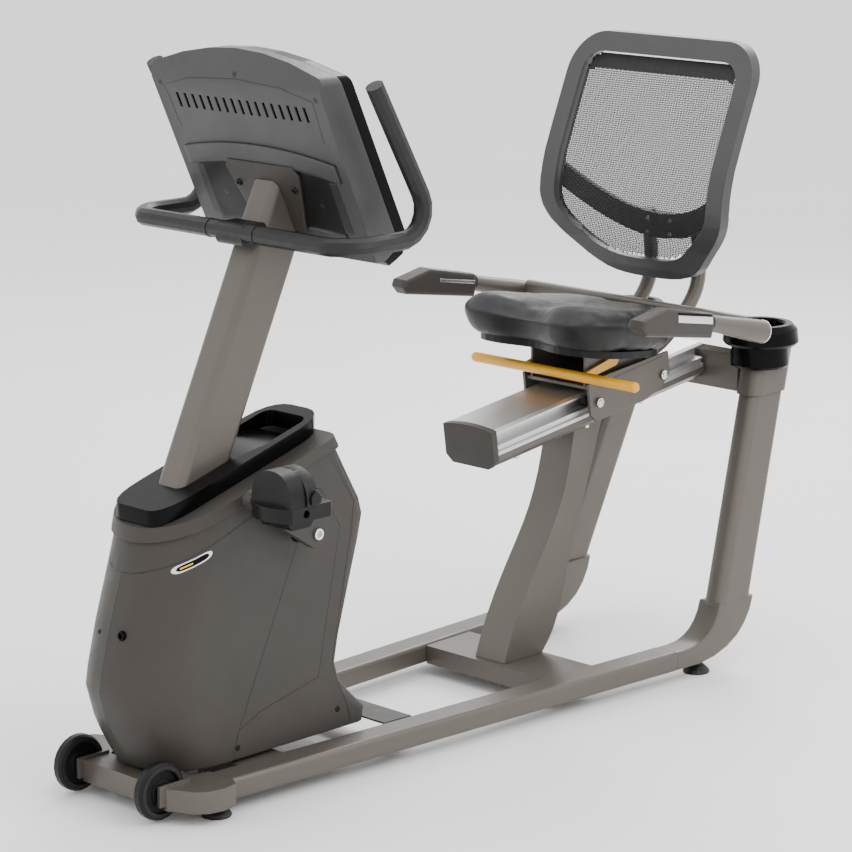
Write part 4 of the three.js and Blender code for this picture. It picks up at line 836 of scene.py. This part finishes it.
def carriage_details():
    tree = surface("seat_carriage")
    centre = span("seat_carriage")[0]
    for side, sign in SIDES:
        outwards = ACROSS * sign
        for where in ("front", "rear"):
            middle = span(f"{where}_roller_{side}")[0]
            start = Vector((middle.x, sign * OUTSIDE, middle.z))
            found = tree.ray_cast(start, -outwards, RAY_REACH)[0]
            if found is not None:
                ring(f"roller_washer_{where}_{side}", found, outwards, 4.2, 9.5, 1.2, "chrome", "seat")
                socket_screw(f"roller_bolt_{where}_{side}", found, outwards, 7, 4.5, "chrome", "seat")
        ends = [Vector((centre.x + dx * MM, sign * OUTSIDE, centre.z + (dz + dx * RAIL_SLOPE) * MM))
                for dx, dz in CARRIAGE_LINE]
        strip(f"carriage_line_{side}", tree, along(ends, 6), -outwards, 1.2, "gap", "seat",
              0.3)


def rail_bolts():
    beam = surface("rail_beam")
    centre, size = span("rail_beam")
    for side, sign in SIDES:
        for i, share in enumerate(BEAM_BOLTS):
            start = Vector((centre.x + (share - 0.5) * size.x, sign * BEAM_BOLT_Y, centre.z - OUTSIDE))
            screw_on(beam, start, UP, f"beam_bolt_{side}_{i + 1}", 6, 7, "chrome", "frame")


GRIP_TOP = ((0.30, 804), (0.96, 780))        # share of the grip's length, height of its top edge
PULSE = {"start": 0.48, "end": 0.95}         # shares of the grip's length
ARM_AXIS = Vector((166, 0, -41)).normalized()    # along the rear run of a seat arm
ARM_END = {"back": 0.006, "up": 0.023}       # metres in from the box of the arm to its ring


def grip_top(share):
    (s0, z0), (s1, z1) = GRIP_TOP
    return (z0 + (z1 - z0) * (share - s0) / (s1 - s0)) * MM


def grip_plate(name, node, side_sign, drop, height, look, rise):
    """A plate on one side face of a hand grip, `drop` millimetres under its top edge."""
    tree = surface(node)
    low, high = (Vector(v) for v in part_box(node))
    face = high.y if side_sign > 0 else low.y

    def place(u, v):
        share = PULSE["start"] + (PULSE["end"] - PULSE["start"]) * u
        return Vector((low.x + (high.x - low.x) * share, face, grip_top(share) - (drop + height * v) * MM))

    patch(name, tree, place, ACROSS * -side_sign, look, "seat", 20, 4, rise)


def grip_details():
    for side, sign in SIDES:
        node = f"hand_grip_{side}"
        grip_plate(f"pulse_recess_{side}", node, sign, 2.0, 5.0, "black_plastic", 0.5)
        grip_plate(f"pulse_plate_{side}", node, sign, 7.5, 14.0, "pulse_steel", 1.0)
        grip_plate(f"pulse_plate_inner_{side}", node, -sign, 15.0, 7.5, "pulse_steel", 0.9)
        low, high = (Vector(v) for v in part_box(f"grip_arm_{side}"))
        end = Vector((high.x - ARM_END["back"], (low.y + high.y) / 2, low.z + ARM_END["up"]))
        ring(f"arm_end_ring_{side}", end, ARM_AXIS, 17, 23.6, 2.2, "chrome", "seat")


# ---------------------------------------------------------------- cranks, pedals, wheels

CRANK_RAYS = 0.4          # metres from the crank's middle to where rays start


def crank_details():
    joints = {joint["name"]: joint for joint in frame["record"]["behaviour"]["joints"]}
    middle = Vector(joints["crank_spin"]["pos_m"])
    for side, sign in SIDES:
        outwards = ACROSS * sign
        tree = surface(f"crank_arm_{side}")
        found = tree.ray_cast(middle + outwards * CRANK_RAYS, -outwards, RAY_REACH)[0]
        if found is not None:
            ring(f"crank_ring_{side}", found, outwards, 6.0, 10.5, 2.6, "chrome", "crank")
            socket_screw(f"crank_bolt_{side}", found, outwards, 5.8, 1.8, "steel", "crank")


# metres, x from the pedal's middle and heights from its lowest point
DECK, ABOVE_RIBS = 0.042, 0.060
RIBS = {"count": 4, "first": 0.020, "step": 0.009, "half": 0.036}
STRAP = {"front": -0.006, "width": 0.026, "gap": 0.0012, "rise": 0.0615, "square": 0.8, "steps": 28}
BUCKLE_AT = {"x": 0.012, "gap": 0.0025, "above_deck": 0.012}
# millimetres, the buckle's outline
BUCKLE = ((-11, -9), (9, -9), (13, 4), (7, 6), (9, 10), (3, 11), (4, 15), (-3, 16), (-13, 3))
BUCKLE_THICK = 5.0


def buckle(name, place, sign, body):
    """A ratchet buckle: a small toothed clip that leans on the strap."""
    points = []
    for depth in (0.0, BUCKLE_THICK):
        points += [place + Vector((x, sign * depth, z)) * MM for x, z in BUCKLE]
    n = len(BUCKLE)
    faces = [list(range(n))[::-1], list(range(n, 2 * n))]
    faces += [(i, (i + 1) % n, n + (i + 1) % n, n + i) for i in range(n)]
    mesh = mesh_of(name, points, faces)
    weld(mesh)
    bevelled(piece(name, mesh, "satin_black", body, smooth=False), 0.6)


def pedal_strap(side, body, centre, half, deck):
    """A band that arches over the shoe behind the hood."""
    points, faces = [], []
    x = centre.x + STRAP["front"]
    for i in range(STRAP["steps"] + 1):
        a = math.pi * i / STRAP["steps"]
        y = centre.y + math.cos(a) * (half + STRAP["gap"])
        z = deck + math.sin(a) ** STRAP["square"] * STRAP["rise"]
        points += [Vector((x, y, z)), Vector((x + STRAP["width"], y, z))]
        if i:
            faces.append((2 * i - 2, 2 * i, 2 * i + 1, 2 * i - 1))
    name = f"pedal_strap_{side}"
    obj = piece(name, mesh_of(name, points, faces), "webbing", body)
    band = obj.modifiers.new("thickness", "SOLIDIFY")
    band.thickness, band.offset = 2.2 * MM, 0
    bevelled(obj, 0.5)


def pedal_ribs(side, body, centre, low):
    tree = surface(body)
    for i in range(RIBS["count"]):
        x = centre.x + RIBS["first"] + RIBS["step"] * i
        ends = [Vector((x, centre.y + dy, low.z + ABOVE_RIBS)) for dy in (-RIBS["half"], RIBS["half"])]
        strip(f"pedal_rib_{side}_{i + 1}", tree, along(ends, 6), DOWN, 3.0, "rubber", body, 0.8)


def pedal_details():
    for side, sign in SIDES:
        body = f"pedal_{side}"
        low, high = (Vector(v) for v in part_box(body))
        centre = (low + high) / 2
        deck = low.z + DECK
        half = (high.y - low.y) / 2
        pedal_strap(side, body, centre, half, deck)
        pedal_ribs(side, body, centre, low)
        place = Vector((centre.x + BUCKLE_AT["x"], centre.y + sign * (half + BUCKLE_AT["gap"]),
                        deck + BUCKLE_AT["above_deck"]))
        buckle(f"pedal_buckle_{side}", place, sign, body)


def wheel_details():
    for side, sign in SIDES:
        centre, size = span(f"transport_wheel_{side}")
        for name, way in (("outer", sign), ("inner", -sign)):
            place = centre + ACROSS * way * size.y / 2
            ring(f"wheel_trim_{side}_{name}", place, ACROSS * way, 40, 47, 0.8, "rubber",
                 f"wheel_{side}")


# ---------------------------------------------------------------- stage

CAMERA_AT = Vector((-4.2037, -4.1164, 1.9051))
CAMERA_LOOKS = Vector((0.6944, 0.6847, -0.2214))
LENS, SENSOR = 131.44, 36
LIGHTS_AIM = Vector((0, 0, 0.6))
SKY = 1.75                # strength of the white surroundings
FLOOR_REACH = 40          # metres from the middle to the floor's edges


def camera():
    data = bpy.data.cameras.new("camera")
    data.lens, data.sensor_width = LENS, SENSOR
    obj = bpy.data.objects.new("camera", data)
    obj.location = CAMERA_AT
    obj.rotation_mode = "QUATERNION"
    obj.rotation_quaternion = CAMERA_LOOKS.to_track_quat("-Z", "Y")
    bpy.context.scene.collection.objects.link(obj)
    bpy.context.scene.camera = obj


def softbox(name, place, size, power):
    """A rectangular lamp aimed at the middle of the bike."""
    data = bpy.data.lights.new(name, "AREA")
    data.shape, data.size, data.size_y = "RECTANGLE", size[0], size[1]
    data.energy = power
    obj = bpy.data.objects.new(name, data)
    obj.location = place
    obj.rotation_euler = (LIGHTS_AIM - Vector(place)).to_track_quat("-Z", "Y").to_euler()
    bpy.context.scene.collection.objects.link(obj)


def studio():
    world = bpy.data.worlds.new("studio")
    world.use_nodes = True
    sky = world.node_tree.nodes["Background"]
    sky.inputs["Color"].default_value = (1, 1, 1, 1)
    sky.inputs["Strength"].default_value = SKY
    bpy.context.scene.world = world
    softbox("key", (0.9, -3.6, 3.9), (3.0, 2.2), 105)
    softbox("rim", (3.4, 1.6, 3.2), (2.4, 2.0), 120)
    softbox("top", (0.3, 0.2, 4.6), (3.5, 2.0), 80)

    corners = [(x * FLOOR_REACH, y * FLOOR_REACH, 0) for x, y in ((-1, -1), (1, -1), (1, 1), (-1, 1))]
    floor = bpy.data.meshes.new("floor")
    floor.from_pydata(corners, [], [(0, 1, 2, 3)])
    s = Shader("pale_floor", (0.83, 0.83, 0.83), 0.55)
    s.mottle(s.noise(1.2, 2), 0.015).smudge(s.noise(3, 2), 0.04)
    floor.materials.append(s.material)
    obj = bpy.data.objects.new("floor", floor)
    bpy.context.scene.collection.objects.link(obj)


# ---------------------------------------------------------------- assembly

camera()
studio()
dress_frame()
smooth_skins()
cushion()
back_details()
housing_details()
console_details()
handlebar_details()
carriage_details()
rail_bolts()
grip_details()
crank_details()
pedal_details()
wheel_details()
